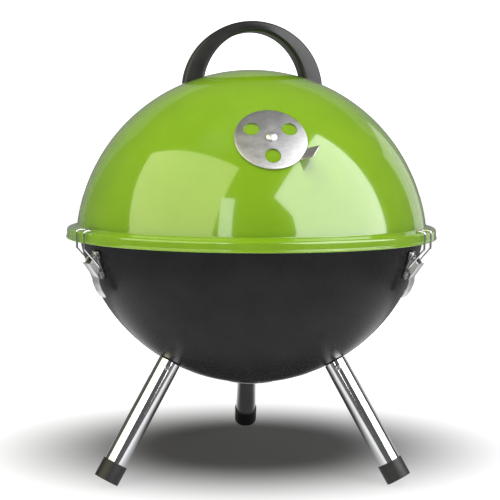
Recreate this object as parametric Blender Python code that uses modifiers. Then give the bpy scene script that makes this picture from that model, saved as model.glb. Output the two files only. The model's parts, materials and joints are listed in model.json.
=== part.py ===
"""A portable kettle charcoal grill: a black bowl on three chromed tube legs, a green domed lid with a
plastic arch handle and a turning damper, three wire toggle latches, and two wire grates inside.

Frame: metres, +Z up. The origin is on the kettle's axis at floor level, and the front is -Y.
An azimuth is measured from the front (-Y) towards +X. Around the kettle, each fitting is drawn in a
ring frame: X outwards, Y along the rim and Z up, with the origin on the kettle's axis at the floor.
"""

import math

import bmesh
import bpy
from mathutils import Matrix, Vector

MM = 0.001

# Fits and gaps
TOUCH_GAP = 0.3 * MM  # between two pieces that touch
HOLE_CLEARANCE = 0.2 * MM  # radial, around a screw, pin or rivet
TURN_STEPS = 40  # flats around a large turned piece
ARC_STEPS = 10  # from the middle of a dome to its edge
ROUND_STEPS = 16  # flats around a tube, cap or washer
SMALL_STEPS = 12  # flats around a fastener

# Bowl: part of a sphere with a rolled rim
BOWL_RADIUS = 150.3 * MM
BOWL_WALL = 1.2 * MM
CURVE_GAP = BOWL_RADIUS / 150.0  # from the inside of a curved wall to a flat washer under it
RIM_DROP = 16.0 * MM  # rolled rim's centre, below the centre of the bowl's sphere
BEAD_RADIUS = 2.0 * MM
BEAD_OVERHANG = 1.4 * MM  # rolled rim's centre, outside the bowl's outer surface

# Lid: part of a sphere, then a ledge and a skirt that closes over the rim
LID_RADIUS = 152.0 * MM
LID_WALL = 1.0 * MM
LID_CREASE_RISE = 7.2  # degrees above the sphere's equator where the dome turns out into the ledge
FLANGE_RADIUS = 160.0 * MM
SKIRT_DEPTH = 10.3 * MM
LEDGE_FALL = 1.7 * MM
LEDGE_WIDTH = 5.4 * MM
SKIRT_SHOULDER = 1.5 * MM  # the skirt's rounded shoulder, in from its edge
SHOULDER_FALL = 1.9 * MM  # and down from the ledge's outer corner

# Dampers: a dished disc on a rivet, over three holes
HOLES = 3
LID_VENT_POLAR = 52.0  # degrees down from the lid's top
LID_VENT_AZIMUTH = 5.0
LID_DAMPER_RADIUS = 28.5 * MM
LID_HOLE_RADIUS = 6.3 * MM
LID_HOLE_CIRCLE = 17.0 * MM
BOWL_DAMPER_RADIUS = 24.0 * MM
BOWL_HOLE_RADIUS = 5.5 * MM
BOWL_HOLE_CIRCLE = 14.5 * MM
DAMPER_THICKNESS = 0.9 * MM
TAB_WIDTH = 13.0 * MM
TAB_REACH = 9.0 * MM
TAB_RISE = 9.4 * MM
TAB_THICKNESS = 0.6 * MM
TAB_ANGLE = -30.0  # around the disc, from the ring direction
DAMPER_RIVET_RADIUS = 2.0 * MM
DAMPER_RIVET_HEAD = 4.5 * MM
DAMPER_RIVET_DOME = 2.2 * MM
DAMPER_RIVET_TAIL = (4.0 * MM, 1.6 * MM)  # radius and height
DAMPER_WASHER_RADIUS = 6.5 * MM
DAMPER_STEPS = 24  # flats around a damper
TAB_ROOT = 5.0 * MM  # the tab's overlap onto the disc

# Handle: a plastic arch screwed down through the lid
HANDLE_AZIMUTH = 9.0
HANDLE_HEIGHT = 59.4 * MM  # from the arch's centre
HANDLE_HALF_WIDTH = 61.0 * MM
HANDLE_INNER_HALF_WIDTH = 44.2 * MM
HANDLE_TOP_THICKNESS = 9.0 * MM
HANDLE_DEPTH = 22.0 * MM
HANDLE_EDGE_RADIUS = 2.4 * MM
HANDLE_SINK = 18.0 * MM  # arch's centre, below the lid's top
HANDLE_SCREW_DEPTH = 11.0 * MM
HANDLE_ROOT = 12.0 * MM  # drawn this far below the arch's centre, then cut off by the lid's curve
HANDLE_STEPS = 16

# Legs: three tubes square to the bowl, with caps on their feet
LEG_AZIMUTHS = {"left": -60.0, "right": 60.0, "rear": 180.0}
LEG_TILT = 32.5  # degrees from vertical
LEG_LENGTH = 111.1 * MM  # from the bowl's surface to the end of the foot cap
LEG_RADIUS = 9.7 * MM
LEG_WALL = 1.2 * MM
FOOT_CAP_LENGTH = 16.3 * MM
FOOT_CAP_WALL = 0.75 * MM
FOOT_CAP_SOLE = 3.5 * MM
FOOT_FLAT_DEPTH = 0.8 * MM
PLUG_LENGTH = 22.0 * MM
PLUG_RECESS = 0.5 * MM  # below the tube's top end
CROSS_SCREW_DROP = 6.0 * MM  # from the tube's top end
CROSS_SCREW_HEAD = (2.6 * MM, 1.0 * MM)  # radius and height
CROSS_SCREW_TIP = 1.0 * MM  # short of the bolt

# Fasteners
BOLT_RADIUS = 2.5 * MM
BOLT_HEAD_RADIUS = 4.8 * MM
BOLT_HEAD_HEIGHT = 3.4 * MM
WASHER_RADIUS = 7.0 * MM
WASHER_THICKNESS = 1.0 * MM
SMALL_SCREW_RADIUS = 1.4 * MM

# Latches: a base riveted to the bowl, a lever on a pin, and a wire bail that hooks over the lid's ledge
LATCH_AZIMUTHS = {"left": -60.0, "right": 60.0, "rear": 180.0}
SHEET = 1.0 * MM
EAR_HALF_GAP = 3.6 * MM  # half the space between the base's ears
LEVER_PLAY = 0.4 * MM  # between an ear and the lever's cheek
LEVER_LIP = 0.2 * MM  # the lever's strip stands this far past its cheeks
WIRE_RADIUS = 0.85 * MM
WIRE_PLAY = 0.35 * MM  # between the lever's edge and the bail's wire
PIN_RADIUS = 1.2 * MM
BASE_LENGTH = 24.0 * MM
BASE_END_WIDTH = 12.5 * MM
BASE_DROP = 17.9 * MM  # middle of the base, below the lid's skirt
BASE_SHOULDER = 0.4 * MM  # slant of the step from a wide end to the narrow middle
EAR_FOOT_UP = 5.8 * MM  # the ear's foot on the base, above and below its middle
EAR_FOOT_DOWN = 5.5 * MM
EAR_FOOT_OUT = 3.0 * MM
EAR_CROWN = 2.5 * MM  # radius around the pin
RIVET_RADIUS = 1.3 * MM
RIVET_HEAD = 2.4 * MM
RIVET_HEAD_HEIGHT = 1.1 * MM
RIVET_INSET = 2.8 * MM  # from the base's ends
HOOK_REACH = 6.0 * MM  # the hook's bar, in from the flange's edge
HOOK_STAND_OFF = 1.3 * MM  # the bail's upright wires, out from the flange's edge
LEVER_PIVOT_DROP = 22.8 * MM  # below the hook's bar
LEVER_PIVOT_INSET = 3.3 * MM  # inside the hook's bar
TOGGLE_ARM = 7.0 * MM  # from the lever's pivot to the bail's
TOGGLE_OVER_CENTRE = 12.0  # degrees past the line from the hook to the lever's pivot
KNEE_DROP = 4.0 * MM  # the bail's knee, below the skirt
LEVER_FLARE = (5.8 * MM, -3.8 * MM)  # the lever's upper end, from its pivot: out and up
LEVER_NECK = (-2.3 * MM, -15.2 * MM)
LEVER_BACK = (-2.5 * MM, -20.0 * MM)
LEVER_PALM = (-5.6 * MM, -27.3 * MM)
LEVER_TIP = (-9.4 * MM, -32.2 * MM)
CHEEK_CROWN = 2.2 * MM  # radius around the pin and around the bail's end
CHEEK_SPAN = (0.06, 0.86)  # where the cheek meets the strip, from its flare to its neck
BAIL_CORNER = 2.0 * MM

# Grates and the brackets that hold the upper one
GRATE_RING_WIRE = 2.0 * MM
GRATE_BAR_WIRE = 1.5 * MM
GRATE_BAR_PITCH = 16.0 * MM
GRATE_SIDES = 6
STAY_DROP = 1.7  # a stay's centre below the bars', in wire radii: welded, so they overlap
COOKING_STAY_OFFSET = 0.42  # a stay's distance from the middle, as a share of the radius
COOKING_GRATE_CLEARANCE = 3.0 * MM  # ring to bowl wall
CHARCOAL_GRATE_RADIUS = 0.632 * BOWL_RADIUS  # wide enough to rest above the heads of the leg bolts
CHARCOAL_GRATE_GAP = 1.4 * CURVE_GAP  # from the ring's wire to the bowl's curve
BRACKET_WIDTH = 10.0 * MM
BRACKET_THICKNESS = 1.5 * MM
BRACKET_HEIGHT = 12.0 * MM
BRACKET_SHELF = 12.0 * MM
BRACKET_TOP_OVER_RIVET = 4.5 * MM
BRACKET_GAP = 1.7 * MM  # from the curved wall to the flat bracket, along the rivet

# Heights and radii that follow from the sizes above
tilt = math.radians(LEG_TILT)
cap_radius = LEG_RADIUS + HOLE_CLEARANCE + FOOT_CAP_WALL
bowl_z = (BOWL_RADIUS + LEG_LENGTH) * math.cos(tilt) + cap_radius * math.sin(tilt) - FOOT_FLAT_DEPTH
bowl_inner = BOWL_RADIUS - BOWL_WALL
rim_z = bowl_z - RIM_DROP
rim_radius = math.sqrt(BOWL_RADIUS**2 - RIM_DROP**2)
crease_z = rim_z + BEAD_RADIUS + TOUCH_GAP + LID_WALL + 0.1 * MM
crease_radius = LID_RADIUS * math.cos(math.radians(LID_CREASE_RISE))
lid_z = crease_z - LID_RADIUS * math.sin(math.radians(LID_CREASE_RISE))
lid_inner = LID_RADIUS - LID_WALL
skirt_z = crease_z - SKIRT_DEPTH


def collection(name):
    made = bpy.data.collections.new(name)
    bpy.context.scene.collection.children.link(made)
    return made


for leftover in list(bpy.data.objects):
    bpy.data.objects.remove(leftover)
PARTS = collection("kettle_grill")
CUTTERS = collection("cutters")


def finish(name, colour, roughness, metallic):
    """A Principled material from a linear colour."""
    made = bpy.data.materials.new(name)
    made.use_nodes = True
    shader = made.node_tree.nodes["Principled BSDF"]
    shader.inputs["Base Color"].default_value = (*colour, 1.0)
    shader.inputs["Roughness"].default_value = roughness
    shader.inputs["Metallic"].default_value = metallic
    return made


GREEN_ENAMEL = finish("green_enamel", (0.27, 0.54, 0.035), 0.15, 0.0)
BLACK_ENAMEL = finish("black_enamel", (0.012, 0.012, 0.013), 0.15, 0.0)
BLACK_PLASTIC = finish("black_plastic", (0.018, 0.018, 0.018), 0.4, 0.0)
CHROME = finish("chrome", (0.62, 0.62, 0.63), 0.08, 1.0)
STEEL = finish("steel", (0.5, 0.5, 0.5), 0.3, 1.0)


def add(name, data, material, place=None, parent=None, group=PARTS):
    """Puts a mesh into the scene as one named part."""
    made = bpy.data.objects.new(name, data)
    group.objects.link(made)
    if not data.materials:
        data.materials.append(material)
    made.parent = parent
    if place is not None:
        made.matrix_local = place
    return made


def mesh_of(obj):
    """The evaluated mesh of a working object, with its doubles merged. The object is removed."""
    bpy.context.view_layer.update()
    graph = bpy.context.evaluated_depsgraph_get()
    data = bpy.data.meshes.new_from_object(obj.evaluated_get(graph))
    data.transform(obj.matrix_world)
    data.materials.clear()
    shape = bmesh.new()
    shape.from_mesh(data)
    bmesh.ops.remove_doubles(shape, verts=shape.verts, dist=0.001 * MM)
    bmesh.ops.recalc_face_normals(shape, faces=shape.faces)
    shape.to_mesh(data)
    shape.free()
    bpy.data.objects.remove(obj)
    return data


def working(data, place=None):
    """A working object that isn't a part."""
    made = bpy.data.objects.new("working", data)
    CUTTERS.objects.link(made)
    made.hide_render = True
    if place is not None:
        made.matrix_world = place
    return made


def combined(base, others, operation):
    """The mesh of base after joining or cutting the other meshes, one after another."""
    for other in others:
        subject = working(base)
        tool = working(other)
        change = subject.modifiers.new(operation.lower(), "BOOLEAN")
        change.operation = operation
        change.object = tool
        base = mesh_of(subject)
        bpy.data.objects.remove(tool)
    return base


def cut_by(obj, name, data):
    """Cuts a part with a live Boolean, whose cutter stays in the cutters' collection."""
    cutter = bpy.data.objects.new(name, data)
    CUTTERS.objects.link(cutter)
    cutter.hide_render = True
    cutter.display_type = "WIRE"
    change = obj.modifiers.new(name, "BOOLEAN")
    change.operation = "DIFFERENCE"
    change.object = cutter


def turned(profile, steps, place=None):
    """The mesh of a profile of (radius, height) points, turned once about Z."""
    data = bpy.data.meshes.new("profile")
    points = [(radius, 0.0, height) for radius, height in profile]
    count = len(points)
    edges = [(i, i + 1) for i in range(count - 1)]
    if profile[0][0] > 0 or profile[-1][0] > 0:
        edges.append((count - 1, 0))
    data.from_pydata(points, edges, [])
    obj = working(data, place)
    turn = obj.modifiers.new("turn", "SCREW")
    turn.steps = turn.render_steps = steps
    turn.use_merge_vertices = True
    turn.merge_threshold = 0.001 * MM
    return mesh_of(obj)


def rod(radius, start, end, steps=SMALL_STEPS):
    """The mesh of a round bar from one point to another."""
    start, end = Vector(start), Vector(end)
    along = end - start
    shape = bmesh.new()
    bmesh.ops.create_cone(
        shape, cap_ends=True, segments=steps, radius1=radius, radius2=radius, depth=along.length
    )
    data = bpy.data.meshes.new("rod")
    shape.to_mesh(data)
    shape.free()
    turn = along.to_track_quat("Z", "Y").to_matrix().to_4x4()
    data.transform(Matrix.Translation((start + end) / 2) @ turn)
    return data


def wire(points, radius, sides_setting=1):
    """The mesh of a wire with filled ends along a list of points."""
    data = bpy.data.curves.new("wire", "CURVE")
    data.dimensions = "3D"
    data.bevel_depth = radius
    data.bevel_resolution = sides_setting
    data.use_fill_caps = True
    spline = data.splines.new("POLY")
    spline.points.add(len(points) - 1)
    for point, target in zip(spline.points, points):
        point.co = (*target, 1.0)
    return mesh_of(working(data))


def flat(outline, thickness, holes=(), place=None):
    """The mesh of a flat plate in the XY plane, centred on it, with round (x, y, radius) holes."""
    data = bpy.data.curves.new("outline", "CURVE")
    data.dimensions = "2D"
    data.fill_mode = "BOTH"
    data.extrude = thickness / 2
    loops = [outline] + [circle(x, y, radius) for x, y, radius in holes]
    for loop in loops:
        spline = data.splines.new("POLY")
        spline.points.add(len(loop) - 1)
        spline.use_cyclic_u = True
        for point, (x, y) in zip(spline.points, loop):
            point.co = (x, y, 0.0, 1.0)
    return mesh_of(working(data, place))


def circle(x, y, radius, steps=SMALL_STEPS):
    angles = [2 * math.pi * i / steps for i in range(steps)]
    return [(x + radius * math.cos(a), y + radius * math.sin(a)) for a in angles]


def ribbon(points, thickness):
    """The outline of a bent sheet: a line of (x, y) points given a thickness, with mitred corners."""
    points = [Vector(p) for p in points]
    sides = []
    for i, point in enumerate(points):
        before = (point - points[i - 1]).normalized() if i else None
        after = (points[i + 1] - point).normalized() if i + 1 < len(points) else None
        normals = [Vector((-d.y, d.x)) for d in (before, after) if d is not None]
        mitre = sum(normals, Vector((0, 0))).normalized()
        sides.append(mitre * (thickness / 2) / mitre.dot(normals[0]))
    left = [tuple(p + s) for p, s in zip(points, sides)]
    right = [tuple(p - s) for p, s in zip(points, sides)]
    return left + right[::-1]


def rounded(points, radius, steps=3):
    """A line of 3-D points whose inner corners become arcs of about this radius."""
    points = [Vector(p) for p in points]
    out = [points[0]]
    for before, corner, after in zip(points, points[1:], points[2:]):
        to_before = (before - corner).normalized()
        to_after = (after - corner).normalized()
        half = to_before.angle(to_after) / 2
        reach = min(radius / math.tan(half), 0.45 * (before - corner).length, 0.45 * (after - corner).length)
        centre = corner + (to_before + to_after).normalized() * (reach / math.cos(half))
        first = corner + to_before * reach - centre
        last = corner + to_after * reach - centre
        for i in range(steps + 1):
            out.append(centre + first.lerp(last, i / steps).normalized() * first.length)
    return out + [points[-1]]


def ring_frame(azimuth):
    """X outwards at this azimuth, Y along the rim, Z up."""
    return Matrix.Rotation(math.radians(azimuth - 90.0), 4, "Z")


# Turns a drawing in XY into the X-Z plane of a ring frame, so that its thickness lies along the rim.
UPRIGHT = Matrix.Rotation(math.radians(90.0), 4, "X")


def upright(outline, thickness, along, holes=()):
    """A plate drawn as (outwards, up) in a ring frame, whose middle is this far along the rim."""
    place = Matrix.Translation((0.0, along, 0.0)) @ UPRIGHT
    return flat(outline, thickness, holes, place)


def sphere_arc(radius, centre_z, start, stop, steps):
    """(radius, height) points on a sphere, by degrees down from its top."""
    angles = [math.radians(start + (stop - start) * i / steps) for i in range(steps + 1)]
    return [(radius * math.sin(a), centre_z + radius * math.cos(a)) for a in angles]


def on_axis(points):
    """Puts the first and last points exactly on the turning axis where they are meant to be."""
    return [(0.0 if abs(r) < 1e-9 else r, z) for r, z in points]


def fastener(seat_low, seat_high, radius, low_head, high_head):
    """A turned pin along Z with a head beyond each seat. A head is (radius, height); None is a plain end."""
    points = [(0.0, seat_high)]
    if high_head:
        wide, tall = high_head
        points = [(0.0, seat_high + tall), (wide, seat_high)]
    points += [(radius, seat_high), (radius, seat_low)]
    if low_head:
        wide, tall = low_head
        points += [(wide, seat_low), (0.0, seat_low - tall)]
    else:
        points.append((0.0, seat_low))
    return turned(points, SMALL_STEPS)


def washer(inner, outer, low, high):
    return turned([(inner, high), (outer, high), (outer, low), (inner, low)], ROUND_STEPS)


def square_to(centre, direction):
    """A frame at this point with Z along the direction and X level."""
    z = Vector(direction).normalized()
    up = Vector((0, 0, 1)) if abs(z.z) < 0.999 else Vector((0, 1, 0))
    x = up.cross(z).normalized()
    return Matrix.Translation(centre) @ Matrix((x, z.cross(x), z)).transposed().to_4x4()


LID_CENTRE = Vector((0.0, 0.0, lid_z))
BOWL_CENTRE = Vector((0.0, 0.0, bowl_z))


def leg_direction(azimuth):
    """Down and outwards, square to the bowl."""
    return ring_frame(azimuth) @ Vector((math.sin(tilt), 0.0, -math.cos(tilt)))


def build_bowl():
    bead_z, bead_r = rim_z, rim_radius + BEAD_OVERHANG
    rise = 180.0 - math.degrees(math.acos(RIM_DROP / BOWL_RADIUS))
    rise_in = 180.0 - math.degrees(math.acos(RIM_DROP / bowl_inner))
    inside = sphere_arc(bowl_inner, bowl_z, 180.0, rise_in, ARC_STEPS)
    outside = sphere_arc(BOWL_RADIUS, bowl_z, rise + 1.2, 180.0, ARC_STEPS)
    bead = [
        (bead_r + BEAD_RADIUS * math.cos(a), bead_z + BEAD_RADIUS * math.sin(a))
        for a in [math.radians(d) for d in (135, 90, 45, 0, -45, -90)]
    ]
    bowl = add("bowl", turned(on_axis(inside + bead + outside), TURN_STEPS), BLACK_ENAMEL)
    reach = 20 * MM
    for name, azimuth in LEG_AZIMUTHS.items():
        along = leg_direction(azimuth)
        start = BOWL_CENTRE + along * (BOWL_RADIUS - reach)
        hole = rod(BOLT_RADIUS + HOLE_CLEARANCE, start, start + along * 2 * reach)
        cut_by(bowl, f"cut_leg_hole_{name}", hole)
    low = bowl_z - BOWL_RADIUS - reach
    for i in range(HOLES):
        a = math.radians(90.0 + 360.0 / HOLES * (i + 0.5))
        x, y = BOWL_HOLE_CIRCLE * math.cos(a), BOWL_HOLE_CIRCLE * math.sin(a)
        cut_by(bowl, f"cut_air_hole_{i}", rod(BOWL_HOLE_RADIUS, (x, y, low), (x, y, low + 2 * reach), 16))
    rivet = rod(DAMPER_RIVET_RADIUS + HOLE_CLEARANCE, (0, 0, low), (0, 0, low + 2 * reach))
    cut_by(bowl, "cut_bowl_rivet_hole", rivet)
    for name, azimuth in LATCH_AZIMUTHS.items():
        for end in ("upper", "lower"):
            hole = rod(RIVET_RADIUS + HOLE_CLEARANCE, (0, 0, -6 * MM), (0, 0, 4 * MM))
            hole.transform(ring_frame(azimuth) @ base_frame() @ rivet_offset(end))
            cut_by(bowl, f"cut_latch_hole_{name}_{end}", hole)


def build_lid():
    dome = sphere_arc(LID_RADIUS, lid_z, 0.0, 90.0 - LID_CREASE_RISE, ARC_STEPS)
    under = sphere_arc(lid_inner, lid_z, 90.0 - LID_CREASE_RISE - 0.4, 0.0, ARC_STEPS)
    corner_r = crease_radius + LEDGE_WIDTH
    corner_z = crease_z - LEDGE_FALL
    lip = FLANGE_RADIUS - SKIRT_SHOULDER
    ledge = [
        (corner_r, corner_z),
        ((corner_r + lip) / 2 + 0.3 * MM, corner_z - 0.55 * MM),
        (lip, corner_z - SHOULDER_FALL),
        (FLANGE_RADIUS, skirt_z),
    ]
    below = [
        (FLANGE_RADIUS - LID_WALL, skirt_z),
        (lip - LID_WALL, corner_z - SHOULDER_FALL - 0.1 * MM),
        (corner_r - 0.2 * MM, corner_z - LID_WALL),
    ]
    lid = add("lid", turned(on_axis(dome + ledge + below + under), TURN_STEPS), GREEN_ENAMEL)
    lid_hole = rod(LID_HOLE_RADIUS, (0, 0, LID_RADIUS - 10 * MM), (0, 0, LID_RADIUS + 10 * MM), 16)
    for i in range(HOLES):
        a = math.radians(90.0 + 360.0 / HOLES * i)
        shift = (LID_HOLE_CIRCLE * math.cos(a), LID_HOLE_CIRCLE * math.sin(a), 0)
        hole = lid_hole.copy()
        hole.transform(lid_vent_frame() @ Matrix.Translation(shift))
        cut_by(lid, f"cut_lid_hole_{i}", hole)
    rivet = rod(
        DAMPER_RIVET_RADIUS + HOLE_CLEARANCE, (0, 0, LID_RADIUS - 10 * MM), (0, 0, LID_RADIUS + 10 * MM)
    )
    rivet.transform(lid_vent_frame())
    cut_by(lid, "cut_lid_rivet_hole", rivet)
    for side in (-1, 1):
        hole = rod(BOLT_RADIUS + HOLE_CLEARANCE, (0, 0, LID_RADIUS - 10 * MM), (0, 0, LID_RADIUS + 5 * MM))
        hole.transform(handle_screw_frame(side))
        cut_by(lid, f"cut_handle_hole_{side}", hole)


def lid_vent_frame():
    """At the centre of the lid's sphere, with Z out through the middle of the vent and Y up the dome."""
    polar = math.radians(LID_VENT_POLAR)
    out = ring_frame(LID_VENT_AZIMUTH) @ Vector((math.sin(polar), 0.0, math.cos(polar)))
    return square_to(LID_CENTRE, out)


def bowl_vent_frame():
    """At the centre of the bowl's sphere, with Z straight down."""
    return square_to(BOWL_CENTRE, (0, 0, -1))


def damper(sphere, radius, hole_radius, hole_circle, tab_angle):
    """A dished disc that follows the sphere under it, with three holes, a rivet hole and a bent-up tab."""
    low = sphere + TOUCH_GAP
    high = low + DAMPER_THICKNESS
    edge = math.degrees(math.asin(radius / high))
    profile = sphere_arc(high, 0.0, 0.0, edge, 3) + sphere_arc(low, 0.0, edge, 0.0, 3)
    disc = turned(on_axis(profile), DAMPER_STEPS)
    middle = (low + high) / 2
    root = math.asin((radius - TAB_ROOT) / middle)
    rim = math.asin((radius - 0.5 * MM) / middle)
    foot = (middle * math.sin(rim), middle * math.cos(rim))
    line = [
        (middle * math.sin(root), middle * math.cos(root)),
        foot,
        (foot[0] + TAB_REACH, foot[1] + TAB_RISE),
    ]
    tab = upright(ribbon(line, TAB_THICKNESS), TAB_WIDTH, 0.0)
    tab.transform(Matrix.Rotation(math.radians(tab_angle), 4, "Z"))
    cuts = [rod(DAMPER_RIVET_RADIUS + HOLE_CLEARANCE, (0, 0, low - 5 * MM), (0, 0, high + 5 * MM))]
    for i in range(HOLES):
        a = math.radians(90.0 + 360.0 / HOLES * (i + 0.5))
        x, y = hole_circle * math.cos(a), hole_circle * math.sin(a)
        cuts.append(rod(hole_radius, (x, y, low - 5 * MM), (x, y, high + 5 * MM), 16))
    return combined(combined(disc, [tab], "UNION"), cuts, "DIFFERENCE")


def build_dampers():
    inside_gap = CURVE_GAP + WASHER_THICKNESS + TOUCH_GAP
    outside = TOUCH_GAP + DAMPER_THICKNESS + TOUCH_GAP
    kinds = (
        ("lid_damper", LID_RADIUS, LID_WALL, lid_vent_frame(),
         LID_DAMPER_RADIUS, LID_HOLE_RADIUS, LID_HOLE_CIRCLE, TAB_ANGLE),
        ("bowl_damper", BOWL_RADIUS, BOWL_WALL, bowl_vent_frame(),
         BOWL_DAMPER_RADIUS, BOWL_HOLE_RADIUS, BOWL_HOLE_CIRCLE, 90.0),
    )
    for name, sphere, wall, place, radius, hole_radius, hole_circle, tab_angle in kinds:
        add(name, damper(sphere, radius, hole_radius, hole_circle, tab_angle), STEEL, place)
        rivet = fastener(
            sphere - wall - inside_gap, sphere + outside, DAMPER_RIVET_RADIUS,
            DAMPER_RIVET_TAIL, (DAMPER_RIVET_HEAD, DAMPER_RIVET_DOME),
        )
        add(f"{name}_rivet", rivet, STEEL, place)
        ring = washer(
            DAMPER_RIVET_RADIUS + HOLE_CLEARANCE, DAMPER_WASHER_RADIUS,
            sphere - wall - CURVE_GAP - WASHER_THICKNESS, sphere - wall - CURVE_GAP,
        )
        add(f"{name}_washer", ring, STEEL, place)


def handle_screw_frame(side):
    """At the centre of the lid's sphere, with Z out through the middle of a handle foot."""
    foot = side * (HANDLE_HALF_WIDTH + HANDLE_INNER_HALF_WIDTH) / 2
    across = Matrix.Rotation(math.radians(HANDLE_AZIMUTH), 4, "Z") @ Vector((1, 0, 0))
    rise = math.sqrt(LID_RADIUS**2 - foot**2)
    return square_to(LID_CENTRE, across * foot + Vector((0, 0, rise)))


def build_handle():
    centre_z = lid_z + LID_RADIUS - HANDLE_SINK
    inner_height = HANDLE_HEIGHT - HANDLE_TOP_THICKNESS
    angles = [math.pi * i / HANDLE_STEPS for i in range(HANDLE_STEPS + 1)]
    outer = [(HANDLE_HALF_WIDTH * math.cos(a), HANDLE_HEIGHT * math.sin(a)) for a in angles]
    inner = [(HANDLE_INNER_HALF_WIDTH * math.cos(a), inner_height * math.sin(a)) for a in angles]
    outline = [(HANDLE_HALF_WIDTH, -HANDLE_ROOT)] + outer + [(-HANDLE_HALF_WIDTH, -HANDLE_ROOT)]
    outline += [(-HANDLE_INNER_HALF_WIDTH, -HANDLE_ROOT)] + inner[::-1]
    outline.append((HANDLE_INNER_HALF_WIDTH, -HANDLE_ROOT))
    turn = Matrix.Rotation(math.radians(HANDLE_AZIMUTH), 4, "Z")
    arch = working(upright(outline, HANDLE_DEPTH, 0.0))
    edge = arch.modifiers.new("rounded_edges", "BEVEL")
    edge.width = HANDLE_EDGE_RADIUS
    edge.segments = 2
    edge.limit_method = "ANGLE"
    edge.angle_limit = math.radians(50.0)
    shape = mesh_of(arch)
    shape.transform(Matrix.Translation((0, 0, centre_z)) @ turn)
    dome = turned(on_axis(sphere_arc(LID_RADIUS + TOUCH_GAP, lid_z, 0.0, 180.0, 48)), 2 * TURN_STEPS)
    cuts = [dome]
    for side in (-1, 1):
        hole = rod(
            BOLT_RADIUS + HOLE_CLEARANCE,
            (0, 0, LID_RADIUS - 5 * MM), (0, 0, LID_RADIUS + HANDLE_SCREW_DEPTH + 1 * MM),
        )
        hole.transform(handle_screw_frame(side))
        cuts.append(hole)
    shape = combined(shape, cuts, "DIFFERENCE")
    shape.transform(Matrix.Translation((0, 0, -centre_z)))
    add("handle", shape, BLACK_PLASTIC, Matrix.Translation((0, 0, centre_z)))
    for side, word in ((-1, "left"), (1, "right")):
        washer_low = lid_inner - CURVE_GAP - WASHER_THICKNESS
        ring = washer(BOLT_RADIUS + HOLE_CLEARANCE, WASHER_RADIUS, washer_low, lid_inner - CURVE_GAP)
        add(f"handle_washer_{word}", ring, STEEL, handle_screw_frame(side))
        screw = fastener(
            washer_low - TOUCH_GAP, LID_RADIUS + HANDLE_SCREW_DEPTH, BOLT_RADIUS,
            (BOLT_HEAD_RADIUS, BOLT_HEAD_HEIGHT), None,
        )
        add(f"handle_screw_{word}", screw, STEEL, handle_screw_frame(side))


def build_legs():
    """Each leg is drawn along Z in a frame at the bowl's centre, Z running down the leg."""
    top = BOWL_RADIUS + TOUCH_GAP
    foot = BOWL_RADIUS + LEG_LENGTH
    tube_end = foot - FOOT_CAP_SOLE
    bore = LEG_RADIUS - LEG_WALL
    plug_radius = bore - TOUCH_GAP
    plug_top = top + PLUG_RECESS
    screw_at = top + CROSS_SCREW_DROP
    tube = turned(
        [(LEG_RADIUS, tube_end), (LEG_RADIUS, top), (bore, top), (bore, tube_end)][::-1], ROUND_STEPS
    )
    plug = washer(BOLT_RADIUS + HOLE_CLEARANCE, plug_radius, plug_top, plug_top + PLUG_LENGTH)
    bolt = fastener(
        bowl_inner - CURVE_GAP - WASHER_THICKNESS - TOUCH_GAP, top + PLUG_LENGTH * 0.7, BOLT_RADIUS,
        (BOLT_HEAD_RADIUS, BOLT_HEAD_HEIGHT), None,
    )
    flat_washer = washer(
        BOLT_RADIUS + HOLE_CLEARANCE, WASHER_RADIUS,
        bowl_inner - CURVE_GAP - WASHER_THICKNESS, bowl_inner - CURVE_GAP,
    )
    cap = turned(
        [
            (0.0, foot), (cap_radius, foot), (cap_radius, foot - FOOT_CAP_LENGTH),
            (LEG_RADIUS + HOLE_CLEARANCE, foot - FOOT_CAP_LENGTH),
            (LEG_RADIUS + HOLE_CLEARANCE, tube_end + TOUCH_GAP), (0.0, tube_end + TOUCH_GAP),
        ],
        ROUND_STEPS,
    )
    screw_tip = -(BOLT_RADIUS + CROSS_SCREW_TIP)
    cross_screw = fastener(
        -(LEG_RADIUS + TOUCH_GAP), screw_tip, SMALL_SCREW_RADIUS, CROSS_SCREW_HEAD, None
    )
    hole_end = screw_tip + CROSS_SCREW_TIP / 2
    cross_hole = rod(SMALL_SCREW_RADIUS + HOLE_CLEARANCE, (0, 0, -1.5 * LEG_RADIUS), (0, 0, hole_end))
    for name, azimuth in LEG_AZIMUTHS.items():
        place = square_to(BOWL_CENTRE, leg_direction(azimuth))
        front = place.to_3x3().inverted() @ Vector((0, 1, 0))
        front.z = 0.0
        facing = Matrix.Translation((0, 0, screw_at)) @ square_to((0, 0, 0), front)
        hole = cross_hole.copy()
        hole.transform(facing)
        add(f"leg_tube_{name}", combined(tube.copy(), [hole], "DIFFERENCE"), CHROME, place)
        add(f"leg_plug_{name}", combined(plug.copy(), [hole.copy()], "DIFFERENCE"), STEEL, place)
        screw = cross_screw.copy()
        screw.transform(facing)
        add(f"leg_cross_screw_{name}", screw, STEEL, place)
        add(f"leg_bolt_{name}", bolt.copy(), STEEL, place)
        add(f"leg_washer_{name}", flat_washer.copy(), STEEL, place)
        floor = bpy.data.meshes.new("floor")
        box = bmesh.new()
        bmesh.ops.create_cube(box, size=60 * MM)
        box.to_mesh(floor)
        box.free()
        below = place.to_translation() + place.to_3x3() @ Vector((0, 0, foot))
        floor.transform(place.inverted() @ Matrix.Translation((below.x, below.y, -30 * MM)))
        add(f"foot_cap_{name}", combined(cap.copy(), [floor], "DIFFERENCE"), BLACK_PLASTIC, place)


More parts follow.
